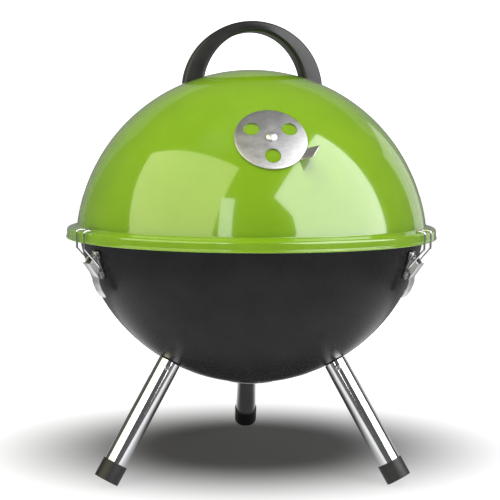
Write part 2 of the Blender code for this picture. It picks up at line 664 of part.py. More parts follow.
# The latch, drawn in a ring frame
hook_r = FLANGE_RADIUS - HOOK_REACH
ledge_slope = LEDGE_FALL / LEDGE_WIDTH
hook_z = crease_z - (hook_r - crease_radius) * ledge_slope + WIRE_RADIUS + TOUCH_GAP
pivot = Vector((hook_r - LEVER_PIVOT_INSET, hook_z - LEVER_PIVOT_DROP))
dead_centre = math.atan2(pivot.y - hook_z, pivot.x - hook_r)
arm_angle = dead_centre - math.radians(TOGGLE_OVER_CENTRE)
bail_pivot = pivot + Vector((math.cos(arm_angle), math.sin(arm_angle))) * TOGGLE_ARM
cheek_inner = EAR_HALF_GAP + SHEET + LEVER_PLAY
cheek_outer = cheek_inner + SHEET
lever_half_width = cheek_outer + LEVER_LIP
wire_y = lever_half_width + WIRE_PLAY + WIRE_RADIUS


def base_frame():
    """On the bowl in a ring frame: Z out of the bowl, Y up it, at the middle of the latch's base."""
    z = skirt_z - BASE_DROP
    r = math.sqrt(BOWL_RADIUS**2 - (bowl_z - z) ** 2)
    out = Vector((r, 0.0, z - bowl_z)).normalized()
    along = Vector((0, 1, 0))
    axes = Matrix((along, out.cross(along), out)).transposed().to_4x4()
    return Matrix.Translation((r, 0.0, z)) @ axes


def rivet_offset(end):
    """From the middle of the base to its upper or lower rivet."""
    reach = BASE_LENGTH / 2 - RIVET_INSET
    return Matrix.Translation((0.0, reach if end == "upper" else -reach, 0.0))


def bowl_gap():
    """How far the bowl's surface falls away under a rivet, as the base is flat."""
    reach = BASE_LENGTH / 2 - RIVET_INSET
    return BOWL_RADIUS - math.sqrt(BOWL_RADIUS**2 - reach**2)


def latch_base():
    """A flat base with wide ends, and two ears folded out of its narrow middle to hold the pin."""
    half = BASE_LENGTH / 2
    wide = BASE_END_WIDTH / 2
    narrow = EAR_HALF_GAP + SHEET + 0.1 * MM
    end = 2 * RIVET_INSET
    right = [
        (wide * 0.3, -half), (wide * 0.8, -half + end / 2), (wide * 0.8, -half + end),
        (narrow, -half + end + BASE_SHOULDER), (narrow, half - end - BASE_SHOULDER),
        (wide, half - end), (wide, half),
    ]
    outline = right + [(-x, y) for x, y in right[::-1]]
    reach = half - RIVET_INSET
    holes = [(0.0, y, RIVET_RADIUS + HOLE_CLEARANCE) for y in (-reach, reach)]
    lift = Matrix.Translation((0, 0, TOUCH_GAP + SHEET / 2))
    sheet = flat(outline, SHEET, holes, base_frame() @ lift)
    foot = base_frame() @ Vector((0, 0, TOUCH_GAP + SHEET / 2))
    out = base_frame().to_3x3().col[2]
    up = Vector((-out.z, 0, out.x))
    foot_up = foot + up * EAR_FOOT_UP
    foot_down = foot - up * EAR_FOOT_DOWN
    ear = [(foot_down.x, foot_down.z), (foot_down.x + EAR_FOOT_OUT, foot_down.z)]
    for degrees in (-45, 0, 45, 90, 130):
        a = math.radians(degrees)
        ear.append((pivot.x + EAR_CROWN * math.cos(a), pivot.y + EAR_CROWN * math.sin(a)))
    ear.append((foot_up.x, foot_up.z))
    pin_hole = [(pivot.x, pivot.y, PIN_RADIUS + HOLE_CLEARANCE)]
    ears = [upright(ear, SHEET * 0.96, side * (EAR_HALF_GAP + SHEET / 2), pin_hole) for side in (-1, 1)]
    return combined(sheet, ears, "UNION")


def latch_lever():
    """A bent strip for the thumb, with two cheeks that carry the pin and the bail's ends."""
    line = [pivot + Vector(p) for p in (LEVER_FLARE, LEVER_NECK, LEVER_BACK, LEVER_PALM, LEVER_TIP)]
    strip = upright(ribbon([tuple(p) for p in line], SHEET), 2 * lever_half_width, 0.0)
    flare, neck = (line[0] + (line[1] - line[0]) * share for share in CHEEK_SPAN)
    cheek = [tuple(neck), tuple(flare)]
    for degrees in (40, 90, 135, 180):
        a = math.radians(degrees)
        cheek.append((pivot.x + CHEEK_CROWN * math.cos(a), pivot.y + CHEEK_CROWN * math.sin(a)))
    for degrees in (180, 225, 270):
        a = math.radians(degrees)
        cheek.append((bail_pivot.x + CHEEK_CROWN * math.cos(a), bail_pivot.y + CHEEK_CROWN * math.sin(a)))
    holes = [
        (pivot.x, pivot.y, PIN_RADIUS + HOLE_CLEARANCE),
        (bail_pivot.x, bail_pivot.y, WIRE_RADIUS + HOLE_CLEARANCE),
    ]
    cheeks = [upright(cheek, SHEET, side * (cheek_inner + SHEET / 2), holes) for side in (-1, 1)]
    return combined(strip, cheeks, "UNION")


def latch_bail():
    """One bent wire: in through a cheek, up past the skirt, over the ledge, and back on the other side."""
    upright_r = FLANGE_RADIUS + HOOK_STAND_OFF
    knee = (upright_r, skirt_z - KNEE_DROP)
    shoulder = (upright_r, hook_z)
    inward = cheek_inner - 0.1 * MM
    side = [
        (bail_pivot.x, inward, bail_pivot.y), (bail_pivot.x, wire_y, bail_pivot.y),
        (knee[0], wire_y, knee[1]), (shoulder[0], wire_y, shoulder[1]), (hook_r, wire_y, hook_z),
    ]
    other = [(x, -y, z) for x, y, z in side[::-1]]
    return wire(rounded(side + other, BAIL_CORNER), WIRE_RADIUS)


def build_latches():
    base, lever, bail = latch_base(), latch_lever(), latch_bail()
    lever_at = Vector((pivot.x, 0.0, pivot.y))
    bail_at = Vector((bail_pivot.x, 0.0, bail_pivot.y))
    lever.transform(Matrix.Translation(-lever_at))
    bail.transform(Matrix.Translation(-bail_at))
    pin_reach = cheek_outer + 0.1 * MM
    pin = rod(PIN_RADIUS, (0, -pin_reach, 0), (0, pin_reach, 0))
    seat = TOUCH_GAP + SHEET + TOUCH_GAP
    tails = {
        "upper": -(BOWL_WALL + bowl_gap() + BRACKET_GAP + BRACKET_THICKNESS + TOUCH_GAP),
        "lower": -(BOWL_WALL + bowl_gap() + CURVE_GAP),
    }
    rivets = {
        end: fastener(
            tail, seat, RIVET_RADIUS,
            (RIVET_HEAD, RIVET_HEAD_HEIGHT), (RIVET_HEAD, RIVET_HEAD_HEIGHT),
        )
        for end, tail in tails.items()
    }
    bracket = grate_bracket()
    for name, azimuth in LATCH_AZIMUTHS.items():
        ring = bpy.data.objects.new(f"latch_ring_{name}", None)
        PARTS.objects.link(ring)
        ring.matrix_world = ring_frame(azimuth)
        add(f"latch_base_{name}", base.copy(), STEEL, None, ring)
        add(f"latch_lever_{name}", lever.copy(), CHROME, Matrix.Translation(lever_at), ring)
        add(f"latch_bail_{name}", bail.copy(), CHROME, Matrix.Translation(bail_at), ring)
        add(f"latch_pin_{name}", pin.copy(), STEEL, Matrix.Translation(lever_at), ring)
        for end, rivet in rivets.items():
            place = base_frame() @ rivet_offset(end)
            add(f"latch_rivet_{end}_{name}", rivet.copy(), STEEL, place, ring)
        add(f"grate_bracket_{name}", bracket.copy(), STEEL, None, ring)


def bracket_line():
    """The bracket's bent line in a ring frame: down the inside of the wall, then in as a shelf."""
    rivet = base_frame() @ rivet_offset("upper")
    out = base_frame().to_3x3().col[2]
    up = Vector((-out.z, 0, out.x))
    depth = BOWL_WALL + bowl_gap() + BRACKET_GAP + BRACKET_THICKNESS / 2
    middle = rivet.to_translation() - out * depth
    high = middle + up * BRACKET_TOP_OVER_RIVET
    low = middle + up * (BRACKET_TOP_OVER_RIVET - BRACKET_HEIGHT)
    return [(high.x, high.z), (low.x, low.z), (low.x - BRACKET_SHELF, low.z)]


def grate_bracket():
    body = upright(ribbon(bracket_line(), BRACKET_THICKNESS), BRACKET_WIDTH, 0.0)
    hole = rod(RIVET_RADIUS + HOLE_CLEARANCE, (0, 0, -12 * MM), (0, 0, 4 * MM))
    hole.transform(base_frame() @ rivet_offset("upper"))
    return combined(body, [hole], "DIFFERENCE")


def grate(ring_radius, stays):
    """A welded wire grate: a ring, bars across it, and stays under the bars."""
    bpy.ops.mesh.primitive_torus_add(
        major_radius=ring_radius, minor_radius=GRATE_RING_WIRE,
        major_segments=TURN_STEPS, minor_segments=GRATE_SIDES,
    )
    ring = bpy.context.object
    for holder in list(ring.users_collection):
        holder.objects.unlink(ring)
    CUTTERS.objects.link(ring)
    body = mesh_of(ring)
    count = int((ring_radius - GRATE_BAR_PITCH / 2) // GRATE_BAR_PITCH)
    pieces = []
    for i in range(-count, count + 1):
        y = i * GRATE_BAR_PITCH
        half = math.sqrt(ring_radius**2 - y**2)
        pieces.append(rod(GRATE_BAR_WIRE, (-half, y, 0), (half, y, 0), GRATE_SIDES))
    drop = -STAY_DROP * GRATE_BAR_WIRE
    for x in stays:
        half = math.sqrt(ring_radius**2 - x**2)
        pieces.append(rod(GRATE_BAR_WIRE, (x, -half, drop), (x, half, drop), GRATE_SIDES))
    return combined(body, pieces, "UNION")


def build_grates():
    shelf_z = bracket_line()[2][1] + BRACKET_THICKNESS / 2
    cooking_z = shelf_z + GRATE_RING_WIRE + TOUCH_GAP
    wall_r = math.sqrt(bowl_inner**2 - (bowl_z - cooking_z) ** 2)
    cooking_r = wall_r - COOKING_GRATE_CLEARANCE - GRATE_RING_WIRE - BRACKET_THICKNESS - RIVET_HEAD_HEIGHT
    stay_x = cooking_r * COOKING_STAY_OFFSET
    cooking = grate(cooking_r, (-stay_x, stay_x))
    add("cooking_grate", cooking, CHROME, Matrix.Translation((0, 0, cooking_z)))
    reach = bowl_inner - GRATE_RING_WIRE - CHARCOAL_GRATE_GAP
    charcoal_z = bowl_z - math.sqrt(reach**2 - CHARCOAL_GRATE_RADIUS**2)
    charcoal = grate(CHARCOAL_GRATE_RADIUS, (0.0,))
    add("charcoal_grate", charcoal, STEEL, Matrix.Translation((0, 0, charcoal_z)))


build_bowl()
build_lid()
build_dampers()
build_handle()
build_legs()
build_latches()
build_grates()
for part in PARTS.objects:
    if part.type == "MESH":
        part.data.shade_smooth()
        part.data.set_sharp_from_angle(angle=math.radians(35.0))
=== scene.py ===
"""A small kettle charcoal grill with a green lid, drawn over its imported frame. Sizes are in millimetres
until a mesh is made. An azimuth is counted from the front (-Y) towards +X."""

import json
import math

import bmesh
import bpy
import numpy as np
from mathutils import Euler, Matrix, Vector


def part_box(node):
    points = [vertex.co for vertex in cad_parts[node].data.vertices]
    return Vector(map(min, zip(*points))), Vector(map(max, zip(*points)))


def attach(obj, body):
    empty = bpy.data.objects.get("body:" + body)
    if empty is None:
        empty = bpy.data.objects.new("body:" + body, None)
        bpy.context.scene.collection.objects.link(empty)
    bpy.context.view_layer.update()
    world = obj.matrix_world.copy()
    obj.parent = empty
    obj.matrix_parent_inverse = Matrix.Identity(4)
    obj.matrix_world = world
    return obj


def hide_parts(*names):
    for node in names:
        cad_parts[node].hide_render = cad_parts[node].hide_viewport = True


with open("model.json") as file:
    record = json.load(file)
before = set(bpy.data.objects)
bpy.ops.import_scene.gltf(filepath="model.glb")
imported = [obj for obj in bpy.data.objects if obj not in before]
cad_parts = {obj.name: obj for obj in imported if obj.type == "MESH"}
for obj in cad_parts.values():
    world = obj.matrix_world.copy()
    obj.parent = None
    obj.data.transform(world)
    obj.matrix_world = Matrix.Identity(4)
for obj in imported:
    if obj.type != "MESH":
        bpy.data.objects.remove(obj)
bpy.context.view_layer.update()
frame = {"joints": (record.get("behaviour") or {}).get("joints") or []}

# The bowl: deep-drawn sheet steel, part of a sphere, with its edge rolled outwards into a bead.
# Black porcelain enamel is fired onto both sides, so it is glassy, very dark and slightly wavy.
MM = 0.001
BOWL_RADIUS = 150.3
BOWL_SHEET = 1.2
BOWL_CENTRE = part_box("bowl")[0][2] / MM + BOWL_RADIUS
BEAD_RADIUS = 2.0
BEAD_AT = (150.85, BOWL_CENTRE - 16.0)
AIR_HOLES = (5.5, 14.5)  # radius, and the circle they stand on
LEG_TILT = math.radians(32.5)
AZIMUTHS = {"left": -60.0, "right": 60.0, "rear": 180.0}
PLATE_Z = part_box("lid")[0][2] / MM - 17.9  # middle of a latch's base
RIVET_SPAN = 9.2  # a latch rivet, from the middle of its base
RIVET_BORE = 2.2  # a damper rivet's hole
BOLT_BORE = 2.7
STUD_BORE = 1.5  # a latch rivet's hole
TAILS = (0.3, 0.7)  # where noise has most of its values
GLASS_IOR = 1.5


def arc(centre, radius, start, stop, steps):
    """Points round a circle in the (radius, height) plane, by degrees above outwards."""
    a = np.radians(np.linspace(start, stop, steps + 1))
    return np.stack([centre[0] + radius * np.cos(a), centre[1] + radius * np.sin(a)], axis=1)


def sheet_faces(rows, columns, wrap_rows=False, wrap_columns=True):
    """Quads between the neighbours of a grid whose points are numbered row by row."""
    r = np.arange(rows if wrap_rows else rows - 1)[:, None]
    c = np.arange(columns if wrap_columns else columns - 1)[None, :]
    r2, c2 = (r + 1) % rows, (c + 1) % columns
    corners = [r * columns + c, r2 * columns + c, r2 * columns + c2, r * columns + c2]
    return np.stack(np.broadcast_arrays(*corners), axis=-1).reshape(-1, 4).tolist()


def moved(points, place):
    """Points in a frame (3 x 3 axes as columns, and an origin) taken to the grill's own frame."""
    return points if place is None else points @ place[0].T + place[1]


def turned(profile, steps=160, place=None):
    """A profile of (radius, height) points carried round Z: x = r cos a, y = r sin a, z = height.
    A profile that leaves the axis and comes back to it is open there, and any other is a loop."""
    profile = np.asarray(profile, float)
    closed = max(profile[0, 0], profile[-1, 0]) > 1e-6
    a = np.linspace(0, 2 * np.pi, steps, endpoint=False)
    r, z = profile[:, :1], profile[:, 1:]
    grid = np.stack([r * np.cos(a), r * np.sin(a), z + 0 * a], axis=-1)
    faces = sheet_faces(len(profile), steps, wrap_rows=closed)
    return moved(grid.reshape(-1, 3), place), faces


def unit(vector):
    """The vector at length one."""
    vector = np.asarray(vector, float)
    return vector / np.linalg.norm(vector)


def facing(direction, origin, along=0.0):
    """A frame whose Z points along a direction and whose X is level. It stands this far along that
    direction from an origin."""
    z = unit(direction)
    up = (0, 0, 1) if abs(z[2]) < 0.999 else (0, 1, 0)
    x = unit(np.cross(up, z))
    return np.stack([x, np.cross(z, x), z], axis=1), np.asarray(origin, float) + z * along


def outwards(azimuth, rise):
    """The direction at an azimuth, turned up from level by an angle in radians."""
    a = math.radians(azimuth)
    flat = math.cos(rise)
    return np.array([flat * math.sin(a), -flat * math.cos(a), math.sin(rise)])


def ring(azimuth):
    """A frame on the grill's axis with X outwards, Y along the rim and Z up."""
    a = math.radians(azimuth)
    x, y = (math.sin(a), -math.cos(a), 0), (math.cos(a), math.sin(a), 0)
    return np.stack([x, y, (0, 0, 1)], axis=1), np.zeros(3)


def within(outer, inner):
    """The frame inner, stated in the frame outer, as one frame."""
    return outer[0] @ inner[0], outer[0] @ inner[1] + outer[1]


def mesh_of(name, shapes, sharp=38.0):
    """One mesh of (points, faces) shapes in millimetres, doubles merged and every face outwards."""
    whole = bmesh.new()
    for points, faces in shapes:
        data = bpy.data.meshes.new("shape")
        data.from_pydata((points * MM).tolist(), [], faces)
        shape = bmesh.new()
        shape.from_mesh(data)
        bmesh.ops.remove_doubles(shape, verts=shape.verts, dist=0.002 * MM)
        bmesh.ops.recalc_face_normals(shape, faces=shape.faces)
        if shape.calc_volume(signed=True) < 0:
            bmesh.ops.reverse_faces(shape, faces=shape.faces)
        shape.to_mesh(data)
        shape.free()
        whole.from_mesh(data)
        bpy.data.meshes.remove(data)
    data = bpy.data.meshes.new(name)
    whole.to_mesh(data)
    whole.free()
    data.shade_smooth()
    data.set_sharp_from_angle(angle=math.radians(sharp))
    return data


def drill(radius, place, low, high, steps=32):
    """A drill's body: a closed round bar along a frame's Z, from one height to another."""
    profile = [(0, low), (radius, low), (radius, high), (0, high)]
    return turned(profile, steps, place)


def drilled(data, drills, welded=False):
    """The mesh with round holes cut through it by drills that don't meet each other. Parts of it that
    run into each other become one body when it is welded."""
    work = bpy.data.objects.new("work", data)
    tool = bpy.data.objects.new("tool", mesh_of("tool", drills))
    for obj in (work, tool):
        bpy.context.scene.collection.objects.link(obj)
    cut = work.modifiers.new("holes", "BOOLEAN")
    cut.operation, cut.object, cut.use_self = "DIFFERENCE", tool, welded
    bpy.context.view_layer.update()
    made = bpy.data.meshes.new_from_object(work.evaluated_get(bpy.context.evaluated_depsgraph_get()))
    made.name = data.name
    for obj in (work, tool):
        bpy.data.objects.remove(obj)
    made.materials.clear()
    made.shade_smooth()
    made.set_sharp_from_angle(angle=math.radians(38.0))
    return made


def piece(name, data, material, body, nodes):
    """Puts a mesh in the scene as one piece that stands for CAD nodes and rides on their body."""
    obj = bpy.data.objects.new(name, data)
    bpy.context.scene.collection.objects.link(obj)
    data.materials.append(material)
    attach(obj, body)
    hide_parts(*nodes)
    return obj


def linear(code):
    """An sRGB hex colour as linear RGBA."""
    parts = [int(code[i : i + 2], 16) / 255 for i in (1, 3, 5)]
    return (*[c / 12.92 if c <= 0.04045 else ((c + 0.055) / 1.055) ** 2.4 for c in parts], 1.0)


def add_node(material, kind, inputs=(), **settings):
    """A shader node with its own settings. Each input is a value, or another node's output to link."""
    made = material.node_tree.nodes.new(kind)
    for name, value in settings.items():
        setattr(made, name, value)
    for name, value in dict(inputs).items():
        if isinstance(value, bpy.types.NodeSocket):
            material.node_tree.links.new(value, made.inputs[name])
        else:
            made.inputs[name].default_value = value
    return made


def new_material(name):
    """An empty material, with its Object coordinates in metres."""
    material = bpy.data.materials.new(name)
    material.use_nodes = True
    material.node_tree.nodes.clear()
    return material, add_node(material, "ShaderNodeTexCoord").outputs["Object"]


def close_material(material, colour, inputs):
    """The Principled shader and the output that end a material."""
    shader = add_node(material, "ShaderNodeBsdfPrincipled", {"Base Color": colour, **inputs})
    add_node(material, "ShaderNodeOutputMaterial", {"Surface": shader.outputs["BSDF"]})
    return material


def graded(material, factor, low, high):
    """A number that runs from low to high with a 0 to 1 factor, clear of the factor's thin tails."""
    span = {"Value": factor, "From Min": TAILS[0], "From Max": TAILS[1], "To Min": low, "To Max": high}
    return add_node(material, "ShaderNodeMapRange", span).outputs["Result"]


def toned(material, factor, first, second):
    """A colour between two, by a 0 to 1 factor."""
    ramp = add_node(material, "ShaderNodeValToRGB", {"Fac": factor})
    for end, place, code in zip(ramp.color_ramp.elements, TAILS, (first, second)):
        end.position, end.color = place, linear(code)
    return ramp.outputs["Color"]


def noise(material, where, size, detail=2.0, roughness=0.5):
    """Noise whose lumps are about this many millimetres across."""
    inputs = {"Vector": where, "Scale": 1 / (size * MM), "Detail": detail, "Roughness": roughness}
    return add_node(material, "ShaderNodeTexNoise", inputs).outputs["Fac"]


def bumped(material, height, depth, normal=None):
    """A normal bent by a height of 0 to 1 that stands for this many millimetres."""
    inputs = {"Height": height, "Strength": 1.0, "Distance": depth * MM}
    if normal is not None:
        inputs["Normal"] = normal
    return add_node(material, "ShaderNodeBump", inputs).outputs["Normal"]


def porcelain_enamel(name, first, second, gloss, glaze, shine):
    """Fired porcelain enamel: glass over steel. It has a slow waviness, faint clouds of tone where
    the glaze is thicker, and small pits, drawn 1.5 mm apart so that they show."""
    material, where = new_material(name)
    clouds = noise(material, where, 26.0, 3.0)
    pits = noise(material, where, 1.5, 1.0)
    wave = bumped(material, noise(material, where, 11.0, 1.0), 0.012)
    normal = bumped(material, pits, 0.0012, wave)
    roughness = graded(material, noise(material, where, 7.0, 4.0), gloss, gloss + 0.05)
    glass = {"IOR": GLASS_IOR, "Specular IOR Level": shine, "Roughness": roughness, "Normal": normal}
    coat = {"Coat Weight": glaze, "Coat Roughness": 0.03, "Coat IOR": GLASS_IOR}
    return close_material(material, toned(material, clouds, first, second), {**glass, **coat})


black_enamel = porcelain_enamel("black porcelain enamel", "#232324", "#282829", 0.24, 0.0, 0.08)


def on_bowl(azimuth, height):
    """A frame on the bowl with X along the rim, Y up the bowl and Z out of it."""
    drop = height - BOWL_CENTRE
    out = np.array([math.sqrt(BOWL_RADIUS**2 - drop**2), 0.0, drop]) / BOWL_RADIUS
    along = np.array([0.0, 1.0, 0.0])
    origin = np.array([out[0] * BOWL_RADIUS, 0.0, height])
    return within(ring(azimuth), (np.stack([along, np.cross(out, along), out], axis=1), origin))


inside = BOWL_RADIUS - BOWL_SHEET
bowl_profile = np.concatenate([
    arc((0, BOWL_CENTRE), inside, -90.0, -6.4, 56),
    arc(BEAD_AT, BEAD_RADIUS, 150.0, -92.0, 18),
    arc((0, BOWL_CENTRE), BOWL_RADIUS, -7.3, -90.0, 56),
])
bowl_drills = [drill(RIVET_BORE, None, 60.0, 90.0)]
for angle in (30.0, 150.0, 270.0):
    turn = math.radians(angle)
    offset = np.array([AIR_HOLES[1] * math.cos(turn), AIR_HOLES[1] * math.sin(turn), 0.0])
    bowl_drills.append(drill(AIR_HOLES[0], (np.eye(3), offset), 60.0, 90.0))
for azimuth in AZIMUTHS.values():
    down = outwards(azimuth, LEG_TILT - math.pi / 2)
    bowl_drills.append(drill(BOLT_BORE, facing(down, (0, 0, BOWL_CENTRE)), 140.0, 160.0))
    for span in (-RIVET_SPAN, RIVET_SPAN):
        place = on_bowl(azimuth, PLATE_Z)
        bowl_drills.append(drill(STUD_BORE, (place[0], place[1] + place[0][:, 1] * span), -6.0, 4.0))
bowl_mesh = drilled(mesh_of("enamelled_bowl", [turned(bowl_profile)]), bowl_drills)
piece("enamelled_bowl", bowl_mesh, black_enamel, "kettle", ["bowl"])

# The lid: the same enamelled steel in green, a dome that turns out at a crease into a narrow ledge
# and then down into a skirt, which closes over the bowl's bead. Its lower edge is hemmed round.
LID_RADIUS = 152.0
LID_SHEET = 1.0
LID_TOP = 345.73
LID_CENTRE = LID_TOP - LID_RADIUS
SKIRT_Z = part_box("lid")[0][2] / MM
VENT = facing(outwards(5.0, math.radians(38.0)), (0, 0, LID_CENTRE))
VENT_HOLES = (6.3, 17.0)
HANDLE_AZIMUTH = math.radians(9.0)
HANDLE_FOOT = 52.6
FLANGE_RADIUS = 160.0
SKIRT_RADIUS = 159.3
CREASE_RISE = 7.2  # degrees above the middle of the lid's sphere

green_enamel = porcelain_enamel("green porcelain enamel", "#7EA914", "#84AE18", 0.11, 1.0, 0.5)


def filleted(points, radii, steps=5):
    """A line of points whose inner corners become arcs: each arc touches both of its sides."""
    points = [np.asarray(p, float) for p in points]
    out = [points[0]]
    for i in range(1, len(points) - 1):
        radius = radii[i - 1] if isinstance(radii, (list, tuple)) else radii
        back, on = unit(points[i - 1] - points[i]), unit(points[i + 1] - points[i])
        half = math.acos(np.clip(back @ on, -1, 1)) / 2
        reach = radius / math.tan(half)
        reach = min(reach, 0.48 * min(np.linalg.norm(points[j] - points[i]) for j in (i - 1, i + 1)))
        centre = points[i] + unit(back + on) * reach / math.cos(half)
        first, last = points[i] + back * reach - centre, points[i] + on * reach - centre
        for share in np.linspace(0, 1, steps + 1):
            out.append(centre + unit(first * (1 - share) + last * share) * np.linalg.norm(first))
    return np.array(out + [points[-1]])


def handle_screw(side):
    """A frame at the middle of the lid's sphere, with Z out through a foot of the handle."""
    x, y = side * HANDLE_FOOT * math.cos(HANDLE_AZIMUTH), side * HANDLE_FOOT * math.sin(HANDLE_AZIMUTH)
    return facing((x, y, math.sqrt(LID_RADIUS**2 - HANDLE_FOOT**2)), (0, 0, LID_CENTRE))


crease = arc((0, LID_CENTRE), LID_RADIUS, CREASE_RISE, CREASE_RISE, 0)[0]
outer_line = [
    arc((0, LID_CENTRE), LID_RADIUS, 9.0, 9.0, 0)[0], crease,
    (SKIRT_RADIUS, crease[1] - 1.9), (SKIRT_RADIUS, SKIRT_Z + 2.0),
    (FLANGE_RADIUS, SKIRT_Z + 1.3), (FLANGE_RADIUS, SKIRT_Z + 0.5),
]
outer_edge = filleted(outer_line, [1.6, 2.4, 0.8, 0.8], 8)
inside = SKIRT_RADIUS - LID_SHEET
inner_line = [
    (inside + 0.5, SKIRT_Z + 0.5), (inside, SKIRT_Z + 2.0), (inside, crease[1] - 2.8),
    (150.2, crease[1] - 1.15), arc((0, LID_CENTRE), LID_RADIUS - LID_SHEET, 9.6, 9.6, 0)[0],
]
inner_edge = filleted(inner_line, [0.8, 0.9, 1.2], 5)
lid_profile = np.concatenate([
    arc((0, LID_CENTRE), LID_RADIUS, 90.0, 9.4, 70),
    outer_edge,
    arc((159.4, SKIRT_Z + 0.6), 0.6, -10.0, -170.0, 6),
    inner_edge,
    arc((0, LID_CENTRE), LID_RADIUS - LID_SHEET, 10.0, 90.0, 60),
])
lid_drills = [drill(RIVET_BORE, VENT, 140.0, 160.0)]
for angle in (90.0, 210.0, 330.0):
    turn = math.radians(angle)
    shift = VENT[0] @ np.array([VENT_HOLES[1] * math.cos(turn), VENT_HOLES[1] * math.sin(turn), 0.0])
    lid_drills.append(drill(VENT_HOLES[0], (VENT[0], VENT[1] + shift), 138.0, 162.0))
lid_drills += [drill(BOLT_BORE, handle_screw(side), 145.0, 155.0) for side in (-1, 1)]
lid_mesh = drilled(mesh_of("enamelled_lid", [turned(lid_profile, 192)]), lid_drills)
piece("enamelled_lid", lid_mesh, green_enamel, "lid", ["lid"])

# The dampers: discs punched from thin stainless sheet, dished to sit on the curve, with three holes
# to turn over the holes beneath and a bent-up tab to turn them by. The sheet keeps its mill grain.
DISC_SHEET = 0.9
DISC_GAP = 0.3
LID_DISC = 28.5
BOWL_DISC = 24.0
BOWL_VENT = facing((0, 0, -1), (0, 0, BOWL_CENTRE))
TAB_SHEET = 0.6
STRIP_CORNER = 0.35  # the most that a sheet's own edges are rounded


def rolled_steel(name, first, second, size, across, rough):
    """Cold-rolled or stainless sheet: fine grain lines along one way, drawn coarse enough to show,
    and soft stains that make the gloss uneven."""
    material, where = new_material(name)
    stretch = add_node(material, "ShaderNodeMapping", {"Vector": where, "Scale": across})
    grain = noise(material, stretch.outputs["Vector"], size, 4.0, 0.65)
    stains = noise(material, where, 9.0, 4.0, 0.6)
    roughness = graded(material, stains, rough, rough + 0.12)
    normal = bumped(material, grain, 0.004)
    return close_material(
        material, toned(material, grain, first, second),
        {"Metallic": 1.0, "Roughness": roughness, "Normal": normal},
    )


damper_steel = rolled_steel("stainless sheet", "#C0C0C3", "#D6D6D8", 1.6, (0.4, 1.0, 1.0), 0.36)


def rounded_corners(steps):
    """A rectangle's four corners as quarter circles: for each point the signs of its corner, and the
    cosine and sine of where it stands about that corner's own middle."""
    quarter = np.radians(np.linspace(0, 90, steps))
    corners = ((1, 1, 0), (-1, 1, 90), (-1, -1, 180), (1, -1, 270))
    return np.array([
        (sx, sy, math.cos(t), math.sin(t)) for sx, sy, base in corners for t in quarter + math.radians(base)
    ]).T


def strip(path, half_width, thickness, place=None, round_end=0.0):
    """A bent sheet: a rounded rectangle carried along a path of (outwards, up) points in the X-Z
    plane, square to the path, its width along Y. round_end shapes the last end as a quarter turn."""
    path = np.asarray(path, float)
    ahead = np.gradient(path, axis=0)
    ahead /= np.linalg.norm(ahead, axis=1, keepdims=True)
    normal = np.stack([-ahead[:, 1], ahead[:, 0]], axis=1)
    lengths = np.concatenate([[0], np.cumsum(np.linalg.norm(np.diff(path, axis=0), axis=1))])
    left = lengths[-1] - lengths
    half = np.full(left.shape, float(half_width))
    if round_end:
        short = round_end - np.minimum(left, round_end)
        half -= (round_end - np.sqrt(np.maximum(round_end**2 - short**2, 0))) * 0.999
    flat = thickness / 2
    edge = min(flat, STRIP_CORNER)
    sx, sy, c, s = rounded_corners(4)
    across = sx * (half[:, None] - edge) + edge * c
    lift = sy * (flat - edge) + edge * s
    points = np.stack([
        path[:, :1] + normal[:, :1] * lift, across, path[:, 1:] + normal[:, 1:] * lift
    ], axis=-1)
    count = len(sx)
    faces = sheet_faces(len(path), count)
    faces += [list(range(count)), list(range((len(path) - 1) * count, len(path) * count))]
    return moved(points.reshape(-1, 3), place), faces


def spun(angle):
    """A frame turned about its own Z by degrees."""
    c, s = math.cos(math.radians(angle)), math.sin(math.radians(angle))
    return np.array([(c, -s, 0), (s, c, 0), (0, 0, 1)]), np.zeros(3)


def dense(path, step=0.8):
    """The same line with more points, one about every step."""
    path = np.asarray(path, float)
    lengths = np.concatenate([[0], np.cumsum(np.linalg.norm(np.diff(path, axis=0), axis=1))])
    even = np.linspace(0, lengths[-1], int(lengths[-1] / step) + 2)
    marks = np.unique(np.concatenate([lengths, even]))
    return np.stack([np.interp(marks, lengths, path[:, i]) for i in range(path.shape[1])], axis=1)


def damper(name, sphere, radius, holes, tab_angle, place):
    """A dished disc: two arcs about the sphere's own centre, joined by a rounded edge, and its tab."""
    low = sphere + DISC_GAP
    high = low + DISC_SHEET
    edge = math.degrees(math.asin((radius - DISC_SHEET / 2) / high))
    middle = (low + high) / 2
    tip = arc((0, 0), middle, 90 - edge, 90 - edge, 0)[0]
    profile = np.concatenate([
        arc((0, 0), high, 90.0, 90.0 - edge, 14),
        arc(tip, DISC_SHEET / 2, 65.0 - edge, -65.0 - edge, 6),
        arc((0, 0), low, 90.0 - edge, 90.0, 14),
    ])
    disc = mesh_of(name, [turned(profile, 96)])
    drills = [drill(RIVET_BORE, None, low - 5, high + 5)]
    for angle in (30.0, 150.0, 270.0):
        turn = math.radians(angle)
        offset = np.array([holes[1] * math.cos(turn), holes[1] * math.sin(turn), 0.0])
        drills.append(drill(holes[0], (np.eye(3), offset), low - 5, high + 5, 40))
    disc = drilled(disc, drills)
    root, rim = math.asin((radius - 5) / middle), math.asin((radius - 0.5) / middle)
    foot = np.array([middle * math.sin(rim), middle * math.cos(rim)])
    line = [(middle * math.sin(root), middle * math.cos(root)), foot, foot + (9.0, 9.4)]
    tab = strip(dense(filleted(line, 1.6), 0.5), 6.5, TAB_SHEET, spun(tab_angle), 1.6)
    joined = bmesh.new()
    joined.from_mesh(disc)
    joined.from_mesh(mesh_of("tab", [tab]))
    joined.to_mesh(disc)
    joined.free()
    turn = Matrix(place[0].tolist()).to_4x4()
    disc.transform(Matrix.Translation(place[1] * MM) @ turn)
    return disc


